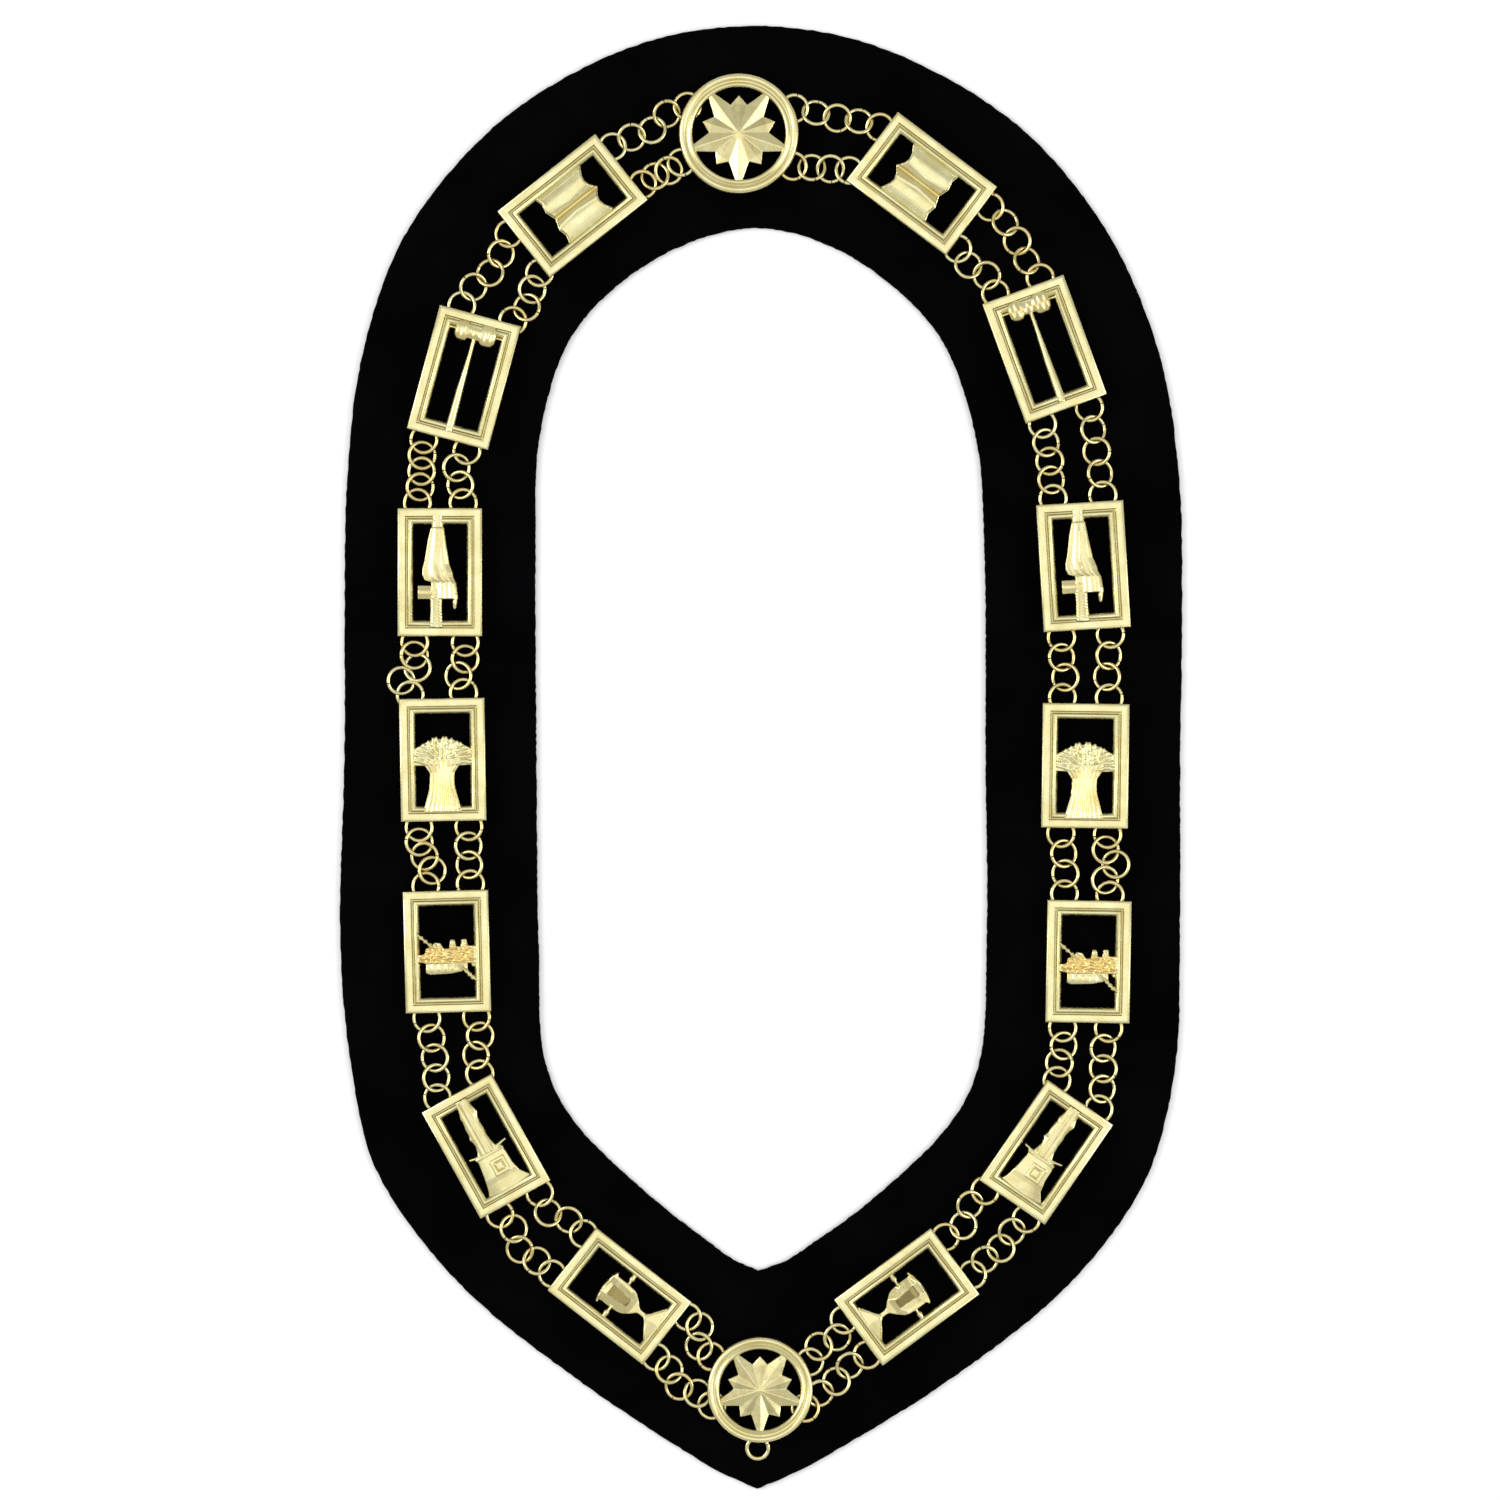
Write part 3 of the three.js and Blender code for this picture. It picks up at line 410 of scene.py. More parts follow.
def crown(r):
    """Jewelled crown across the opening, with a sceptre slanting over it."""
    top = between(r.x, (-8.4, -6.8, -5.4, -4.8, -2.4, -1.6, -1.0, 0.8, 1.1,
                        1.5, 3.1, 3.5, 5.2, 5.6, 7.5, 7.9, 11.2),
                  (1.2, 1.6, 2.4, 3.6, 3.4, 2.0, 1.3, 1.4, 3.0, 4.7, 4.7, 2.0, 2.0, 4.7, 4.7, 2.2, 2.2))
    side = between(r.y, (-4.8, -4.2, -3.8, -1.2, -0.8, 4), (-8.0, -8.6, -11.2, -11.2, -8.4, -7.4))
    edge = np.maximum(np.maximum(r.y - top, -4.6 - r.y), side - r.x)
    body = 1.9 + 0.55 * np.cos(np.clip(r.x / 11.5, -1, 1) * 1.4) + 0.2 * np.cos((r.y + 1.5) * 0.5)
    r.sheet(edge, body + grains(r, 1.15, 0.8, 0.4, SEED + 4), rounding=0.3)
    low = between(r.x, (-8, -6.5, 1.5, 5.5, 8), (-8.3, -8.9, -8.6, -7.8, -7.3))
    band = np.maximum(np.maximum(r.y + 4.2, low - r.y), np.abs(r.x + 0.2) - 7.9)
    swell = 2.2 + 0.5 * np.cos((r.y + 6.4) * 0.6) + 0.12 * np.cos(r.x * 2 * math.pi / 2.6)
    r.sheet(band, swell - 0.0108 * r.x ** 2, rounding=0.5)
    rod = [(-OPEN_X - INTO_BAR, 7.0), (-8.9, 5.0), (-5.2, 1.6), (0.6, -2.6), (6.2, -6.9), (8.9, -9.6),
           (OPEN_X + INTO_BAR, -11.4)]
    lift = (1.1, 1.1, 1.3, 0.3, 1.3, 1.1, 1.1)
    r.rod([(x, y, 0.72, 1.3 + up) for (x, y), up in zip(rod, lift)], base=0.5, blend=0.12)
    for x, y in ((-9.5, 5.5), (-7.9, 4.1), (-6.3, 2.7), (7.1, -7.7), (8.3, -9.0), (9.5, -10.2)):
        r.knob(x, y, 1.9, 0.95)
    r.rod([(8.9, -3.8, 0.8, 1.4), (9.9, -5.4, 0.9, 1.3)])


def column(r):
    """Broken column hanging from the top bar over a square pedestal with a sunk panel."""
    left = between(-r.y, (-20.5, -17.0, -14.0, -12.6, -9.0, -6.6, -4.9, -3.9, -1.8, 0.6, 2.0),
                   (-2.8, -3.0, -3.9, -3.7, -4.1, -4.1, -4.7, -4.1, -3.8, -4.4, -5.0))
    right = between(-r.y, (-20.5, -17.0, -13.8, -12.0, -9.6, -7.0, -4.6, -1.8, 0.4, 2.0),
                    (2.6, 2.9, 3.9, 3.0, 2.7, 2.9, 2.7, 2.9, 3.5, 4.2))
    edge = np.maximum(np.maximum(left - r.x, r.x - right), np.maximum(r.y - 20.4, -2.6 - r.y))
    across = np.clip((2 * r.x - left - right) / (right - left), -1, 1)
    flutes = 0.1 * np.cos((r.x + 0.6) * 2 * math.pi / 2.1)
    r.sheet(edge, 1.9 + 0.95 * np.sqrt(1 - across ** 2) + flutes, rounding=0.4)
    half_left = between(-r.y, (2.4, 5, 10, 14, 16, 17.6, 20), (6.0, 6.0, 6.7, 7.5, 8.0, 8.8, 9.6))
    half_right = between(-r.y, (2.4, 5, 10, 14, 16, 17.6, 20), (5.5, 6.1, 6.3, 7.3, 8.8, 10.1, 10.6))
    edge = np.maximum(np.maximum(-half_left - r.x, r.x - half_right), np.maximum(r.y + 2.4, -19.4 - r.y))
    facet = 2.55 - 0.05 * np.maximum(np.abs(r.x) - 2.6, 0) ** 1.5
    r.sheet(edge, facet + between(r.y, (-19, -14, -12, -3), (-0.7, -0.2, 0.15, 0.0)), blend=0.3)
    r.rod([(-6.0, -3.2, 0.8, 2.1), (5.6, -3.2, 0.8, 2.1)], blend=0.25)
    panel = np.maximum(np.abs(r.x - 1.2), np.abs(r.y + 9.0)) - 3.2
    r.sheet(panel, np.full(r.x.shape, 3.1), blend=0.12, rounding=0.2)
    groove = np.abs(np.maximum(np.abs(r.x - 1.2), np.abs(r.y + 9.0)) - 1.7) - 0.22
    r.cut(soft_most(groove[:, :, None], 2.7 - r.z[None, None, :], 0.1), 0.1)
    for x0, y0, x1, y1 in ((3.6, -1.8, 8.0, -0.9), (-4.6, -2.6, -8.4, -1.9)):
        r.rod([(x0, y0, 1.0, 2.0), ((x0 + x1) / 2, (y0 + y1) / 2, 0.8, 1.8), (x1, y1, 0.6, 1.4)])


def cup(r):
    """Footed cup of broad facets, held between the side bars by two small bridges."""
    half = between(-r.y, (-7.6, -6.6, -5.6, -5.0, 0.0, 3.0, 4.8, 7.0, 9.2, 10.3, 12.4, 14.0,
                          15.5, 17.6, 19.6),
                   (6.6, 7.4, 7.0, 6.1, 6.1, 5.8, 5.2, 3.4, 1.15, 0.85, 0.9, 2.4, 4.6, 7.8, 9.0))
    lip = 7.6 - 0.028 * r.x ** 2
    edge = np.maximum(np.abs(r.x) - half, np.maximum(r.y - lip, -OPEN_Y - 1.6 - r.y))
    left, right = -2.0 - 0.1 * r.y, 2.2 + 0.05 * r.y
    facets = np.where(r.x < left, 3.3 - 0.62 * (left - r.x),
                      np.where(r.x > right, 2.6 + 0.3 * (r.x - right), 3.3 - 0.17 * (r.x - left)))
    facets = np.minimum(facets, 3.25 + between(-r.y, (-5, 3.2, 3.6, 6.6, 9.5, 11, 13, 15, 19.6),
                                               (0.1, 0.0, -0.1, -1.2, -1.55, -1.6, -1.45, -1.0, -1.0)))
    facets = np.where((r.y > 2.4) & (r.y < 4.6), facets - 0.16 * (r.y - 2.4), facets)
    foot = 2.55 - 0.11 * np.abs(r.x) - 0.05 * np.abs(r.y + 15.5)
    r.sheet(edge, np.where(r.y < -12.4, foot, facets), rounding=0.25)
    rim = [(-7.0, 5.9, 0.7, 1.6), (-4.8, 6.6, 0.85, 2.4), (0, 6.9, 0.85, 2.6), (4.8, 6.6, 0.85, 2.4),
           (7.0, 5.9, 0.7, 1.6)]
    r.rod(rim, blend=0.12)
    r.rod([(-6.9, -17.2, 0.45, 1.7), (-2.6, -14.3, 0.5, 1.9), (0, -12.9, 0.6, 2.0), (2.6, -14.3, 0.5, 1.9),
           (6.9, -17.2, 0.45, 1.7)], blend=0.2)
    for way in (-1, 1):
        r.rod([(way * 5.4, 0.0, 0.9, 1.3), (way * 7.2, 0.0, 0.7, 1.1), (way * 8.5, 0.1, 1.25, 1.3),
               (way * (OPEN_X + INTO_BAR), 0.0, 0.8, 0.9)])


CARVERS = {"book": book, "gavel": gavel, "sword": sword, "sheaf": sheaf, "crown": crown, "column": column,
           "cup": cup}

# ---------------------------------------------------------------- materials


def node_tree(name):
    material = bpy.data.materials.new(name)
    material.use_nodes = True
    nodes, links = material.node_tree.nodes, material.node_tree.links
    shader = nodes["Principled BSDF"]
    place = nodes.new("ShaderNodeNewGeometry").outputs["Position"]
    return material, nodes, links, shader, place


def noise(nodes, links, place, scale, detail=3.0, rough=0.55):
    cloud = nodes.new("ShaderNodeTexNoise")
    cloud.inputs["Scale"].default_value = scale
    cloud.inputs["Detail"].default_value = detail
    cloud.inputs["Roughness"].default_value = rough
    links.new(place, cloud.inputs["Vector"])
    return cloud.outputs["Fac"]


def ranged(nodes, links, value, low, high, to_low, to_high):
    band = nodes.new("ShaderNodeMapRange")
    for socket, number in (("From Min", low), ("From Max", high), ("To Min", to_low), ("To Max", to_high)):
        band.inputs[socket].default_value = number
    links.new(value, band.inputs["Value"])
    return band.outputs["Result"]


def mixed(nodes, links, share, first, second):
    mix = nodes.new("ShaderNodeMix")
    mix.data_type = "RGBA"
    links.new(share, mix.inputs["Factor"])
    for socket, colour in ((mix.inputs["A"], first), (mix.inputs["B"], second)):
        if isinstance(colour, tuple):
            socket.default_value = (*colour, 1.0)
        else:
            links.new(colour, socket)
    return mix.outputs["Result"]


def bumped(nodes, links, shader, heights):
    """Bumps stacked on one another: each (height, depth in metres, strength)."""
    normal = None
    for height, depth, strength in heights:
        bump = nodes.new("ShaderNodeBump")
        bump.inputs["Distance"].default_value = depth
        bump.inputs["Strength"].default_value = strength
        links.new(height, bump.inputs["Height"])
        if normal is not None:
            links.new(normal, bump.inputs["Normal"])
        normal = bump.outputs["Normal"]
    links.new(normal, shader.inputs["Normal"])


PALE_GOLD = (0.74, 0.70, 0.40)
DEEP_GOLD = (0.68, 0.61, 0.30)
WARM_GOLD = (0.66, 0.45, 0.13)
# Darker gold for painted shade and a painted dark reflection.
SHADE_AND_REFLECTION_GOLD = (0.26, 0.21, 0.08)


def gilt(name, rough, wave, grain):
    """Pale gilding: uneven tone, warmer where the `warm` attribute says, darkened by painted shade and a
    painted dark reflection where its second attribute says.
    """
    material, nodes, links, shader, place = node_tree(name)
    tone = ranged(nodes, links, noise(nodes, links, place, 130.0), 0.35, 0.65, 0.0, 1.0)
    colour = mixed(nodes, links, tone, PALE_GOLD, DEEP_GOLD)
    warm = nodes.new("ShaderNodeAttribute")
    warm.attribute_name = "warm"
    colour = mixed(nodes, links, warm.outputs["Fac"], colour, WARM_GOLD)
    # Painted shade and a painted dark reflection, mixed in as darker gold per point.
    painted_shade_and_reflection = nodes.new("ShaderNodeAttribute")
    painted_shade_and_reflection.attribute_name = "painted_shade_and_reflection"
    colour = mixed(nodes, links, painted_shade_and_reflection.outputs["Fac"], colour, SHADE_AND_REFLECTION_GOLD)
    links.new(colour, shader.inputs["Base Color"])
    shader.inputs["Metallic"].default_value = 1.0
    smear = noise(nodes, links, place, 420.0, 4.0, 0.6)
    links.new(ranged(nodes, links, smear, 0.3, 0.7, rough * 0.7, rough * 1.45), shader.inputs["Roughness"])
    bumped(nodes, links, shader, [
        (noise(nodes, links, place, 90.0, 1.0), 0.0006, wave),
        (noise(nodes, links, place, 1500.0, 3.0, 0.6), 0.00005, grain),
    ])
    return material


def velvet_cloth():
    """Black pile: dense fine tufts, faint nap shading and a low sheen."""
    material, nodes, links, shader, place = node_tree("black_velvet")
    nap = ranged(nodes, links, noise(nodes, links, place, 26.0, 2.0), 0.3, 0.7, 0.0, 1.0)
    links.new(mixed(nodes, links, nap, (0.0004, 0.0004, 0.0006), (0.0012, 0.0011, 0.0015)),
              shader.inputs["Base Color"])
    shader.inputs["Roughness"].default_value = 0.95
    shader.inputs["Specular IOR Level"].default_value = 0.02
    shader.inputs["Sheen Weight"].default_value = 0.008
    shader.inputs["Sheen Roughness"].default_value = 0.45
    shader.inputs["Sheen Tint"].default_value = (0.55, 0.55, 0.75, 1.0)
    tufts = nodes.new("ShaderNodeTexVoronoi")
    tufts.inputs["Scale"].default_value = 1700.0
    links.new(place, tufts.inputs["Vector"])
    bumped(nodes, links, shader, [
        (noise(nodes, links, place, 60.0, 3.0), 0.0008, 0.35),
        (tufts.outputs["Distance"], 0.00025, 0.6),
    ])
    return material


def paper():
    material, nodes, links, shader, place = node_tree("pale_floor")
    tone = noise(nodes, links, place, 3.0, 2.0)
    colour = mixed(nodes, links, tone, (0.90, 0.90, 0.90), (0.93, 0.93, 0.93))
    links.new(colour, shader.inputs["Base Color"])
    shader.inputs["Roughness"].default_value = 0.9
    shader.inputs["Specular IOR Level"].default_value = 0.1
    return material


CAST_GILT = gilt("cast_gilt", 0.26, 0.35, 0.35)
WIRE_GILT = gilt("wire_gilt", 0.2, 0.1, 0.2)
VELVET = velvet_cloth()


def marked(mesh, name, values):
    """Stores one number per point for a material to read."""
    mark = mesh.attributes.new(name, "FLOAT", "POINT")
    mark.data.foreach_set("value", np.clip(values, 0, 1).astype(np.float32))


def local_points(mesh):
    points = np.empty(len(mesh.vertices) * 3, np.float32)
    mesh.vertices.foreach_get("co", points)
    return points.reshape(-1, 3) / MM


# ---------------------------------------------------------------- where the frame puts things


def plan_of(node):
    """A node's points in plan, in millimetres."""
    return local_points(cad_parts[node].data)[:, :2]


def placed(node):
    """Middle, turn and size in plan of an oblong node, its length within a quarter turn of +Y."""
    plan = plan_of(node)
    best = None
    for turn in np.radians(np.arange(-89.9, 90.0, 0.1)):
        across = plan @ (math.cos(turn), math.sin(turn))
        up = plan @ (-math.sin(turn), math.cos(turn))
        wide, tall = np.ptp(across), np.ptp(up)
        if tall > wide and (best is None or wide * tall < best["wide"] * best["tall"]):
            best = {"turn": turn, "wide": wide, "tall": tall}
            a, u = (across.max() + across.min()) / 2, (up.max() + up.min()) / 2
            best["at"] = np.array([a * math.cos(turn) - u * math.sin(turn),
                                   a * math.sin(turn) + u * math.cos(turn)])
    return best


PLAQUES = {side: [placed(f"plaque_{side}_{i + 1}_{emblem}") for i, emblem in enumerate(EMBLEMS)]
           for side in SIDES}


def medallion_place(end):
    low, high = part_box(f"medallion_{end}")
    return np.array([low.x + high.x, low.y + high.y]) / 2 / MM, (high.x - low.x) / 2 / MM


def medallion_hook(end, key):
    at, radius = medallion_place(end)
    angle = math.radians(MEDALLIONS[end][key])
    reach = radius - MEDALLIONS[end]["hook_inside"]
    return at + reach * np.array([math.cos(angle), math.sin(angle)])


def plaque_hook(plaque, end, across):
    x, y = across * HOOK_SPREAD, end * (plaque["tall"] / 2 - HOOK_INSIDE)
    c, s = math.cos(plaque["turn"]), math.sin(plaque["turn"])
    return plaque["at"] + np.array([x * c - y * s, x * s + y * c])


def run_ends(side, gap, line):
    """The two staples that a run of rings joins."""
    outward = -1 if side == "left" else 1
    across = outward if line == "outer" else -outward
    key = f"{side}_{line}"
    row = PLAQUES[side]
    start = medallion_hook("nape", key) if gap == 0 else plaque_hook(row[gap - 1], -1, across)
    end = medallion_hook("breast", key) if gap == len(row) else plaque_hook(row[gap], 1, across)
    return start, end


# ---------------------------------------------------------------- plaques


def bar_frame():
    corners = [(1, 1), (-1, 1), (-1, -1), (1, -1)]
    points = [(sx * (NOMINAL_WIDE / 2 - inward), sy * (NOMINAL_TALL / 2 - inward), up)
              for sx, sy in corners for inward, up in BAR_MOULDING]
    return points, facing_out(points, ring_faces(4, len(BAR_MOULDING), True))


def staple(x, y, angle):
    """Wire staple on a casting's back, its legs spread along `angle`."""
    turn = np.linspace(math.pi, 2 * math.pi, 9)
    curve = HOOK_HALF - HOOK_WIRE
    path = [(-HOOK_HALF, 0, 1.2)]
    foot = HOOK_FOOT - PLATE_BASE
    path += [(HOOK_HALF * math.cos(t), 0, foot + curve + curve * math.sin(t)) for t in turn]
    path += [(HOOK_HALF, 0, 1.2)]
    path = np.array(path)
    c, s = math.cos(angle), math.sin(angle)
    path = np.stack([x + path[:, 0] * c, y + path[:, 0] * s, path[:, 2]], axis=1)
    return swept(path, HOOK_WIRE, 10, False, sideways=(-s, c, 0.0))


def warmth(emblem, p):
    """How warm the gilding looks, over an emblem's points."""
    x, y, z = p[:, 0], p[:, 1], p[:, 2]
    within = (np.abs(x) < OPEN_X) & (np.abs(y) < OPEN_Y)
    if emblem == "crown":
        return 0.85 * within * between(y, (-4.8, -3.8, 1.6, 3.4), (0.0, 1.0, 0.9, 0.15)) * (z < 3.0)
    if emblem == "sheaf":
        return 0.5 * within * between(y, (-17, -8, -3, 0), (0.9, 1.0, 0.7, 0.0)) * (np.abs(x) < 5.5)
    if emblem == "book":
        return 0.3 * within * np.exp(-((x / (1.0 + 0.12 * np.abs(y))) ** 2))
    if emblem == "column":
        return 0.22 * within * between(y, (-18, -14, -9, 0, 14), (0.8, 0.5, 0.1, 0.4, 0.5))
    if emblem == "gavel":
        return 0.3 * within * (y > 12)
    return 0.12 * within


def shade_and_reflection_paint(emblem, p):
    """Painted shade on the gilding, low down and in the bars' groove, and a painted dark reflection on the
    cup's middle facet.
    """
    x, y, z = np.abs(p[:, 0]), np.abs(p[:, 1]), p[:, 2]
    inward = np.minimum(NOMINAL_WIDE / 2 - x, NOMINAL_TALL / 2 - y)
    # Painted shade in the bars' groove.
    groove = 0.5 * between(inward, (3.05, 3.3, 3.8, 4.05), (0, 1, 1, 0)) * (z < 2.0) * (inward < BAR_WIDTH)
    # Painted shade low down, near the back of the casting.
    painted_dark = np.maximum(groove, between(z, (-0.5, 0.3, 0.9), (0.6, 0.35, 0.0)))
    # A painted dark reflection on the cup's middle facet.
    if emblem == "cup":
        facet = (p[:, 0] > -2.0 - 0.1 * p[:, 1]) & (p[:, 0] < 2.2 + 0.05 * p[:, 1])
        painted_dark = np.maximum(painted_dark, 0.95 * (facet & (p[:, 1] < 4.6) & (p[:, 1] > -4.6)))
    return painted_dark


def plaque_mesh(emblem):
    """One fused casting: moulded bars, emblem and four staples."""
    relief = Relief(OPEN_X + INTO_BAR, OPEN_Y + 4.8, 4.2)
    CARVERS[emblem](relief)
    body = make_piece("bars", *bar_frame(), CAST_GILT)
    art = make_piece("art", *relief.mesh(), CAST_GILT)
    hooks = combined([staple(across * HOOK_SPREAD, end * (NOMINAL_TALL / 2 - HOOK_INSIDE), math.pi / 2)
                      for end in (1, -1) for across in (1, -1)])
    whole = fused([body, art, make_piece("hooks", *hooks, CAST_GILT)], emblem)
    points = local_points(whole.data)
    marked(whole.data, "warm", warmth(emblem, points))
    # Painted shade and a painted dark reflection, stored per point.
    marked(whole.data, "painted_shade_and_reflection", shade_and_reflection_paint(emblem, points))
    mesh = whole.data
    bpy.data.objects.remove(whole)
    return mesh


def plaques():
    rng = np.random.default_rng(SEED)
    for i, emblem in enumerate(EMBLEMS):
        mesh = plaque_mesh(emblem)
        for side in SIDES:
            place = PLAQUES[side][i]
            node = f"plaque_{side}_{i + 1}_{emblem}"
            piece = bpy.data.objects.new(f"{emblem}_plaque_{side}", mesh)
            bpy.context.scene.collection.objects.link(piece)
            tip = np.radians(rng.uniform(-0.45, 0.45, 2))
            piece.rotation_euler = (tip[0], tip[1], place["turn"])
            piece.scale = (place["wide"] / NOMINAL_WIDE, place["tall"] / NOMINAL_TALL, 1.0)
            piece.location = (place["at"][0] * MM, place["at"][1] * MM, PLATE_BASE * MM)
            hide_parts(node)
            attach(piece, "root")


# ---------------------------------------------------------------- medallions


def star_relief(radius):
    """Five long points, one toward the breast, with five short ones between, all ridged."""
    size = radius * 0.86
    r = Relief(size, size, 4.2)
    reach = np.hypot(r.x, r.y)
    sector = math.radians(72)
    angle = np.abs((np.arctan2(r.y, r.x) + math.pi / 2 + sector / 2) % sector - sector / 2)
    u, v = reach * np.cos(angle), reach * np.sin(angle)
    notch_at = math.radians(STAR["notch_angle"])
    tip = (radius * STAR["tip"], 0.0)
    notch = (radius * STAR["notch"] * math.cos(notch_at), radius * STAR["notch"] * math.sin(notch_at))
    short = (radius * STAR["short"] * math.cos(sector / 2), radius * STAR["short"] * math.sin(sector / 2))

    def side_of(a, b):
        length = math.hypot(b[0] - a[0], b[1] - a[1])
        return ((u - a[0]) * (b[1] - a[1]) - (v - a[1]) * (b[0] - a[0])) / -length

    def plane(a, a_up, b, b_up):
        slope = np.linalg.solve(np.array([a, b]), np.array([a_up, b_up]) - STAR["centre_up"])
        return STAR["centre_up"] + slope[0] * u + slope[1] * v

    by_tip = angle < notch_at
    edge = np.where(by_tip, side_of(tip, notch), side_of(notch, short))
    up = np.where(by_tip, plane(tip, STAR["tip_up"], notch, STAR["notch_up"]),
                  plane(notch, STAR["notch_up"], short, STAR["short_up"]))
    r.sheet(-edge, up, rounding=0.15)
    return r


def medallion(end):
    at, radius = medallion_place(end)
    rim_width = MEDALLIONS[end]["rim"]
    steps = 120
    points = []
    for k in range(steps):
        angle = 2 * math.pi * k / steps
        for share, up in RIM_MOULDING:
            out = radius - share * rim_width
            points.append((out * math.cos(angle), out * math.sin(angle), up))
    faces = facing_out(points, ring_faces(steps, len(RIM_MOULDING), True))
    rim = make_piece("rim", points, faces, CAST_GILT)
    art = make_piece("art", *star_relief(radius).mesh(), CAST_GILT, sharp=24.0)
    hooks = []
    for side in SIDES:
        for line in LINES:
            gap = 0 if end == "nape" else len(EMBLEMS)
            start, stop = run_ends(side, gap, line)
            local = medallion_hook(end, f"{side}_{line}") - at
            along = stop - start
            hooks.append(staple(local[0], local[1], math.atan2(along[1], along[0])))
    if end == "breast":
        ring_at, ring_reach = pendant_place()
        top = ring_at + np.array([0.0, ring_reach]) - at
        hooks.append(staple(top[0], top[1], math.pi / 2))
    piece = fused([rim, art, make_piece("hooks", *combined(hooks), CAST_GILT)], f"star_medallion_{end}")
    points = local_points(piece.data)
    marked(piece.data, "warm", np.full(len(points), 0.1))
    reach = np.hypot(points[:, 0], points[:, 1]) / radius
    angle = np.degrees(np.arctan2(points[:, 1], points[:, 0])) + 90.0
    aside = np.abs((angle + 36.0) % 72.0 - 36.0)
    # Painted shade between the star's arms and low down near the back, stored per point.
    inside = between(reach, (0.08, 0.12, 0.46, 0.5), (0, 1, 1, 0))
    shade_between_arms = 0.3 * (aside > STAR["notch_angle"]) * inside
    shade_low_down = between(points[:, 2], (-0.5, 0.6, 1.1), (0.7, 0.4, 0.0))
    marked(piece.data, "painted_shade_and_reflection", np.maximum(shade_between_arms, shade_low_down))
    piece.location = (at[0] * MM, at[1] * MM, PLATE_BASE * MM)
    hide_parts(f"medallion_{end}")
    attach(piece, "root")


# ---------------------------------------------------------------- rings


def pendant_place():
    """Middle in plan and radius of the pendant ring, to the middle of its wire."""
    low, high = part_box("pendant_ring")
    return np.array([low.x + high.x, low.y + high.y]) / 2 / MM, (high.x - low.x) / 2 / MM - PENDANT_WIRE


def split_ring(centre, along, tilt, reach, wire, seam, steps=40, sides=12):
    """Round ring of wire, cut through at its seam, tilted about the run's line."""
    gap = SEAM_GAP / 2 / reach
    turn = np.linspace(gap, 2 * math.pi - gap, steps)
    path = np.stack([np.cos(turn + seam), np.sin(turn + seam), np.zeros(steps)], axis=1) * reach
    points, faces = swept(path, wire, sides, False)
    heading = math.atan2(along[1], along[0])
    c, s = math.cos(tilt), math.sin(tilt)
    points = points @ np.array([[1, 0, 0], [0, c, -s], [0, s, c]]).T
    c, s = math.cos(heading), math.sin(heading)
    points = points @ np.array([[c, -s, 0], [s, c, 0], [0, 0, 1]]).T
    return points + centre, faces


def ring_middles(start, end, asides):
    """Middles of a run's rings in plan: the end ones on their staples, all within reach of the next."""
    along = end - start
    length = np.linalg.norm(along)
    along = along / length
    outward = np.array([-along[1], along[0]])
    if outward @ (start + end) < 0:
        outward = -outward
    count = len(asides) + 2
    reach = np.linspace(RING_REACH, length - RING_REACH, count)
    middles = start + reach[:, None] * along + np.array([0.0, *asides, 0.0])[:, None] * outward
    for _ in range(SETTLING_STEPS):
        for hook, first, after in ((start, 0, 1), (end, -1, -2)):
            lead = middles[after] - hook
            middles[first] = hook + lead / np.linalg.norm(lead) * RING_REACH
        for i in range(count - 1):
            apart = middles[i + 1] - middles[i]
            reach = np.linalg.norm(apart)
            if reach > RING_TAUT:
                pull = apart / reach * (reach - RING_TAUT) / 2
                middles[i] += pull
                middles[i + 1] -= pull
    return middles


def tilts_of(middles):
    """Tilt of each ring, alternately left and right, enough for its wire to pass its neighbours'."""
    count = len(middles)
    need = []
    for i in range(count - 1):
        apart = np.linalg.norm(middles[i + 1] - middles[i])
        crossing = math.sqrt(max(RING_REACH ** 2 - apart ** 2 / 4, 1.0))
        need.append((2 * RING_WIRE + WIRE_CLEARANCE) / crossing)
    tilts = []
    for i in range(count):
        if i in (0, count - 1):
            tilts.append(END_TILT)
            continue
        shares = []
        for pair, other in ((need[i - 1], i - 1), (need[i], i + 1)):
            shares.append(pair - math.sin(END_TILT) if other in (0, count - 1) else pair / 2)
        tilts.append(math.asin(min(max(max(shares), LEAST_TILT), MOST_TILT)))
    return [tilt if i % 2 == 0 else -tilt for i, tilt in enumerate(tilts)]


def chain_runs():
    rng = np.random.default_rng(SEED + 1)
    for side in SIDES:
        for gap in range(len(EMBLEMS) + 1):
            for line in LINES:
                middles = ring_middles(*run_ends(side, gap, line), RING_ASIDES[f"{side}_{line}"][gap])
                rings = []
                for i, tilt in enumerate(tilts_of(middles)):
                    ahead, behind = middles[min(i + 1, len(middles) - 1)], middles[max(i - 1, 0)]
                    centre = np.array([*middles[i], RING_LEVEL])
                    seam = rng.choice((-1, 1)) * math.pi / 2 + rng.uniform(-0.5, 0.5)
                    rings.append(split_ring(centre, ahead - behind, tilt, RING_REACH, RING_WIRE, seam))
                piece = make_piece(f"rings_{side}_{gap + 1}_{line}", *combined(rings), WIRE_GILT)
                count = len(piece.data.vertices)
                warm = rng.uniform(0.05, 0.45, len(rings))
                marked(piece.data, "warm", np.repeat(warm, count // len(rings)))
                marked(piece.data, "painted_shade_and_reflection", np.zeros(count))
                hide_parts(f"chain_{side}_{gap + 1}_{line}")
                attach(piece, "root")


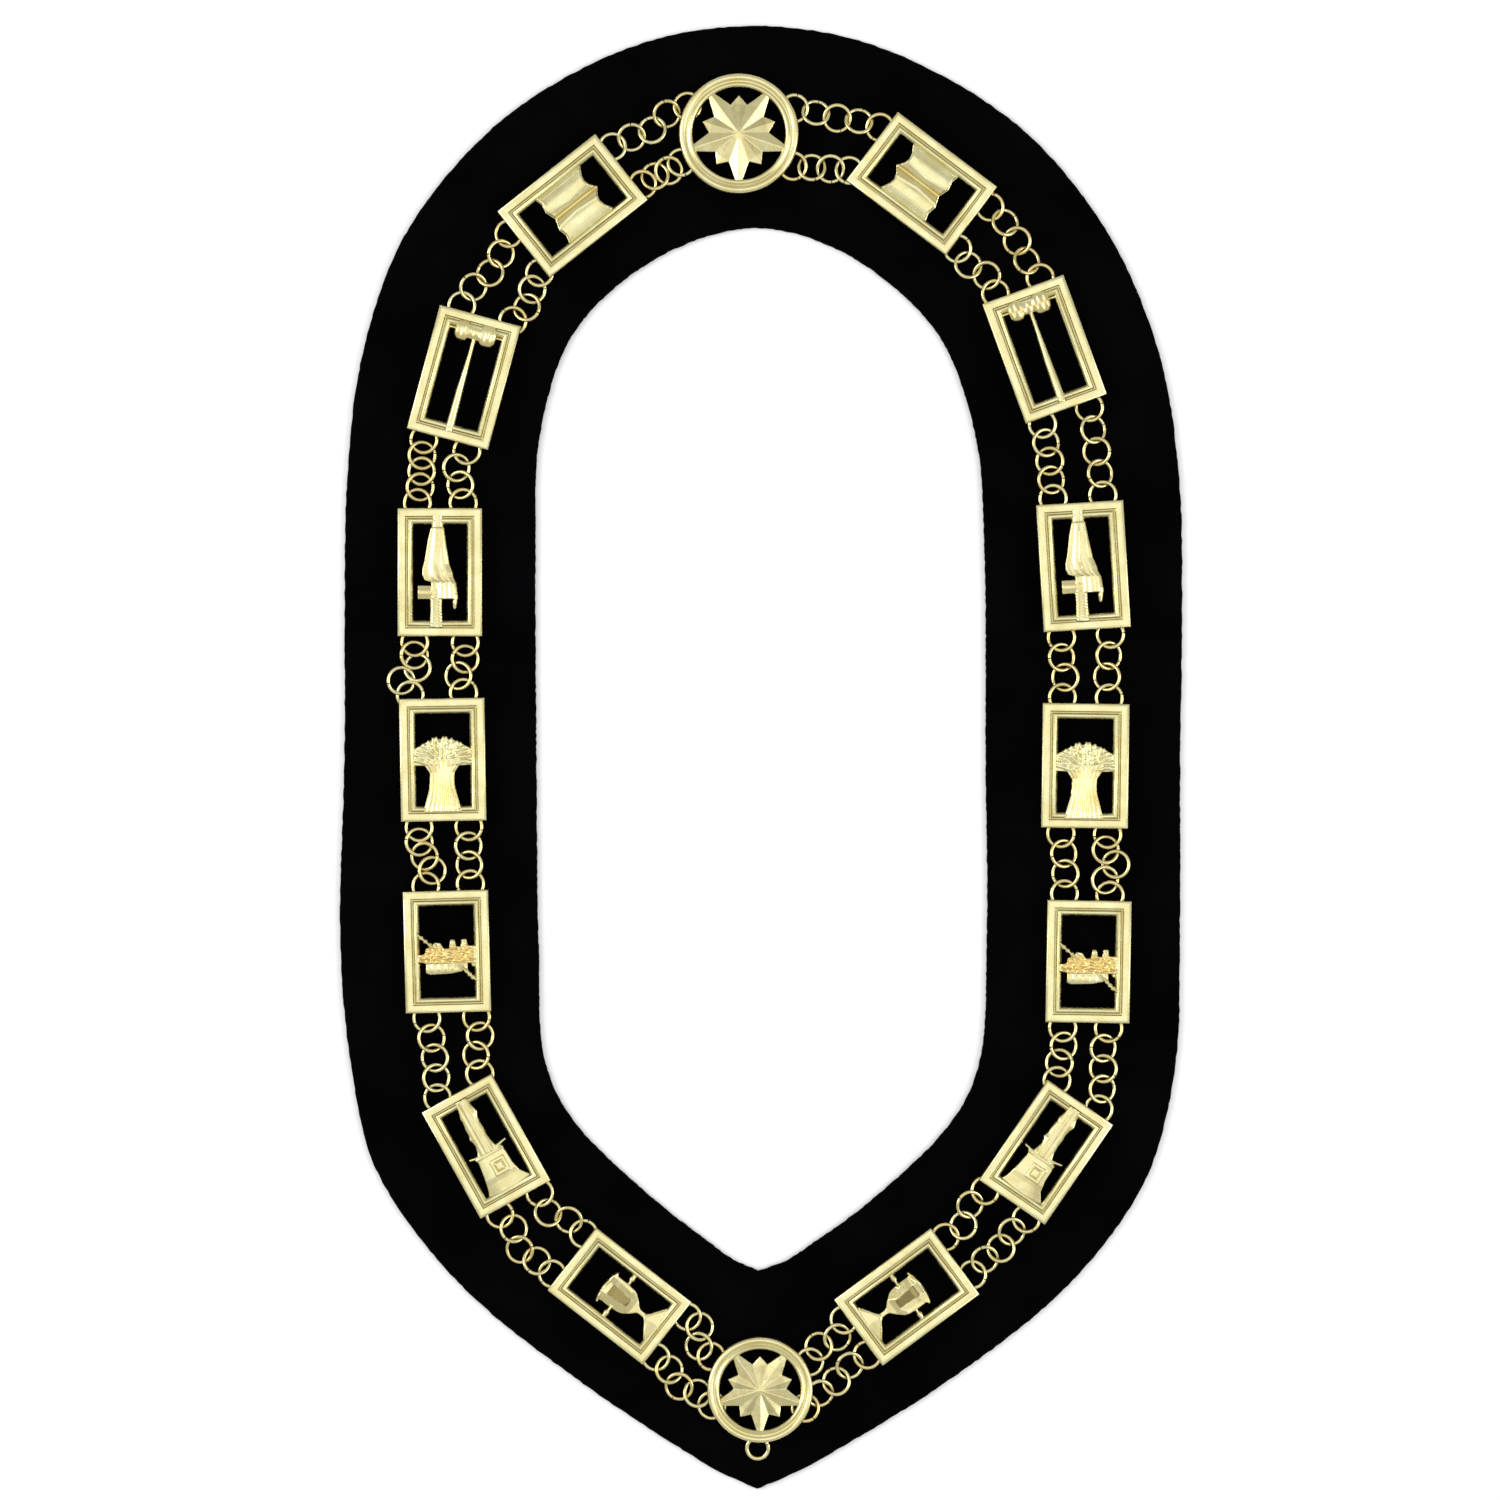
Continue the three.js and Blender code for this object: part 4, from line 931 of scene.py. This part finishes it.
def pendant():
    at, reach = pendant_place()
    low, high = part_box("pendant_ring")
    centre = np.array([*at, (low.z + high.z) / 2 / MM])
    ring = split_ring(centre, (1.0, 0.0), PENDANT_TILT, reach, PENDANT_WIRE, PENDANT_SEAM, 56, 14)
    piece = make_piece("badge_ring", *ring, WIRE_GILT)
    marked(piece.data, "warm", np.full(len(piece.data.vertices), 0.1))
    marked(piece.data, "painted_shade_and_reflection", np.zeros(len(piece.data.vertices)))
    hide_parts("pendant_ring")
    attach(piece, "root")


# ---------------------------------------------------------------- velvet


def edge_loops():
    """The band's outer and inner outlines in plan, each starting at its top and going the same way."""
    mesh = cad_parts["velvet_backing"].data
    points = local_points(mesh)
    keys = [tuple(np.round(p, 2)) for p in points]
    after = {}
    for face in mesh.polygons:
        corners = [keys[k] for k in face.vertices]
        for here, there in zip(corners, corners[1:] + corners[:1]):
            if here != there and all(abs(p[2] - VELVET_SHOULDER) < 0.05 for p in (here, there)):
                after.setdefault(here, set()).add(there)
                after.setdefault(there, set()).add(here)
    loops = []
    while after:
        start = max(after, key=lambda p: p[1])
        loop, here = [start], max(after[start], key=lambda p: p[0])
        while here != start:
            loop.append(here)
            here = next((p for p in after[here] if p not in loop[-2:]), start)
        for point in loop:
            after.pop(point)
        loops.append(np.array(loop)[:, :2])
    return sorted(loops, key=lambda loop: -np.ptp(loop[:, 1]))


def smooth_loop(points, steps):
    """A closed curve through the points, `steps` to each, keeping its sharp corners."""
    before, after = points - np.roll(points, 1, 0), np.roll(points, -1, 0) - points
    turn = np.arctan2(before[:, 0] * after[:, 1] - before[:, 1] * after[:, 0], (before * after).sum(axis=1))
    corner = (np.abs(turn) > math.radians(24.0))[:, None]
    leaving = np.where(corner, after, (before + after) / 2)
    arriving = np.roll(np.where(corner, before, (before + after) / 2), -1, 0)
    rows = []
    for t in np.arange(steps) / steps:
        rows.append((2 * t ** 3 - 3 * t ** 2 + 1) * points + (t ** 3 - 2 * t ** 2 + t) * leaving
                    + (3 * t ** 2 - 2 * t ** 3) * np.roll(points, -1, 0) + (t ** 3 - t ** 2) * arriving)
    return np.stack(rows, axis=1).reshape(-1, 2)


def velvet_band():
    far, near = (smooth_loop(loop, VELVET_STEPS) for loop in edge_loops())
    around = len(far)
    rng = np.random.default_rng(SEED + 2)
    share = np.linspace(0, 1, VELVET_ACROSS)
    turn = np.linspace(0, 2 * math.pi, around, endpoint=False)
    waves = [(rng.integers(2, 11), rng.uniform(0, 6.3), rng.uniform(0, 6.3)) for _ in range(6)]
    inward = near - far
    width = np.linalg.norm(inward, axis=1)[:, None]
    inward = inward / width
    tufts = rng.uniform(0.0, VELVET_TUFTS, (2, around, 1))
    far, near = far + inward * tufts[0], near - inward * tufts[1]
    width = width - tufts.sum(axis=0)
    shoulder = np.radians(np.linspace(-90, 90, 7))
    rings = []
    for i in range(around):
        swell = sum(math.sin(n * turn[i] + a) * np.cos(2 * share * (k % 3 + 1) + b)
                    for k, (n, a, b) in enumerate(waves)) * 0.035
        half = VELVET_TOP / 2
        row = []
        for angle in shoulder:
            out = far[i] - inward[i] * VELVET_EDGE * (math.cos(angle) - 1.0)
            row.append((out[0], out[1], half + half * math.sin(angle)))
        for k in range(1, VELVET_ACROSS - 1):
            at = far[i] + inward[i] * (VELVET_EDGE + share[k] * (width[i] - 2 * VELVET_EDGE))
            row.append((at[0], at[1], VELVET_TOP - 0.1 + swell[k]))
        for angle in shoulder[::-1]:
            out = near[i] + inward[i] * VELVET_EDGE * (math.cos(angle) - 1.0)
            row.append((out[0], out[1], half + half * math.sin(angle)))
        for k in range(4, 0, -1):
            at = far[i] + inward[i] * (VELVET_EDGE + k / 5 * (width[i] - 2 * VELVET_EDGE))
            row.append((at[0], at[1], 0.0))
        rings.append(row)
    count = len(rings[0])
    points = np.array(rings).reshape(-1, 3)
    piece = make_piece("velvet_band", points, facing_out(points, ring_faces(around, count, True)), VELVET,
                       sharp=80.0)
    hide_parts("velvet_backing")
    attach(piece, "root")


# ---------------------------------------------------------------- floor, light and camera

FLOOR_HALF = 6000.0
WORLD_LIGHT = 0.7

# Name, place and diameter in metres, and power in watts of each soft light. All aim at the middle.
LIGHTS = (
    ("overhead", (0.0, 0.0, 2.8), 2.6, 12.5),
    ("key", (-2.1, 0.35, 1.7), 1.6, 28.0),
    ("fill", (2.1, -0.3, 1.7), 1.6, 22.0),
)

CAMERA_HEIGHT = 1.9
CAMERA_SPAN = 0.570
CAMERA_ASIDE = (-0.0042, 0.0028)
SENSOR = 36.0


def floor():
    points = [(x * FLOOR_HALF, y * FLOOR_HALF, 0) for x, y in ((-1, -1), (1, -1), (1, 1), (-1, 1))]
    piece = make_piece("floor", points, [(0, 1, 2, 3)], paper())


def soft_light(name, at, size, power):
    lamp = bpy.data.lights.new(name, "AREA")
    lamp.shape = "DISK"
    lamp.size = size
    lamp.energy = power
    light = bpy.data.objects.new(name, lamp)
    light.location = at
    light.rotation_euler = (-Vector(at)).to_track_quat("-Z", "Y").to_euler()
    bpy.context.scene.collection.objects.link(light)


def studio():
    world = bpy.data.worlds.new("studio")
    world.use_nodes = True
    background = world.node_tree.nodes["Background"]
    background.inputs["Color"].default_value = (1.0, 1.0, 1.0, 1.0)
    background.inputs["Strength"].default_value = WORLD_LIGHT
    bpy.context.scene.world = world
    for name, at, size, power in LIGHTS:
        soft_light(name, at, size, power)
    bpy.context.scene.view_settings.view_transform = "Standard"


def camera():
    low, high = cad_low, cad_high
    middle = (low + high) / 2
    lens = bpy.data.cameras.new("camera")
    lens.sensor_width = SENSOR
    lens.lens = SENSOR * CAMERA_HEIGHT / CAMERA_SPAN
    lens.clip_end = 20.0
    eye = bpy.data.objects.new("camera", lens)
    eye.location = (middle.x + CAMERA_ASIDE[0], middle.y + CAMERA_ASIDE[1], CAMERA_HEIGHT)
    bpy.context.scene.collection.objects.link(eye)
    bpy.context.scene.camera = eye


camera()
studio()
floor()
velvet_band()
plaques()
for medallion_end in MEDALLIONS:
    medallion(medallion_end)
chain_runs()
pendant()
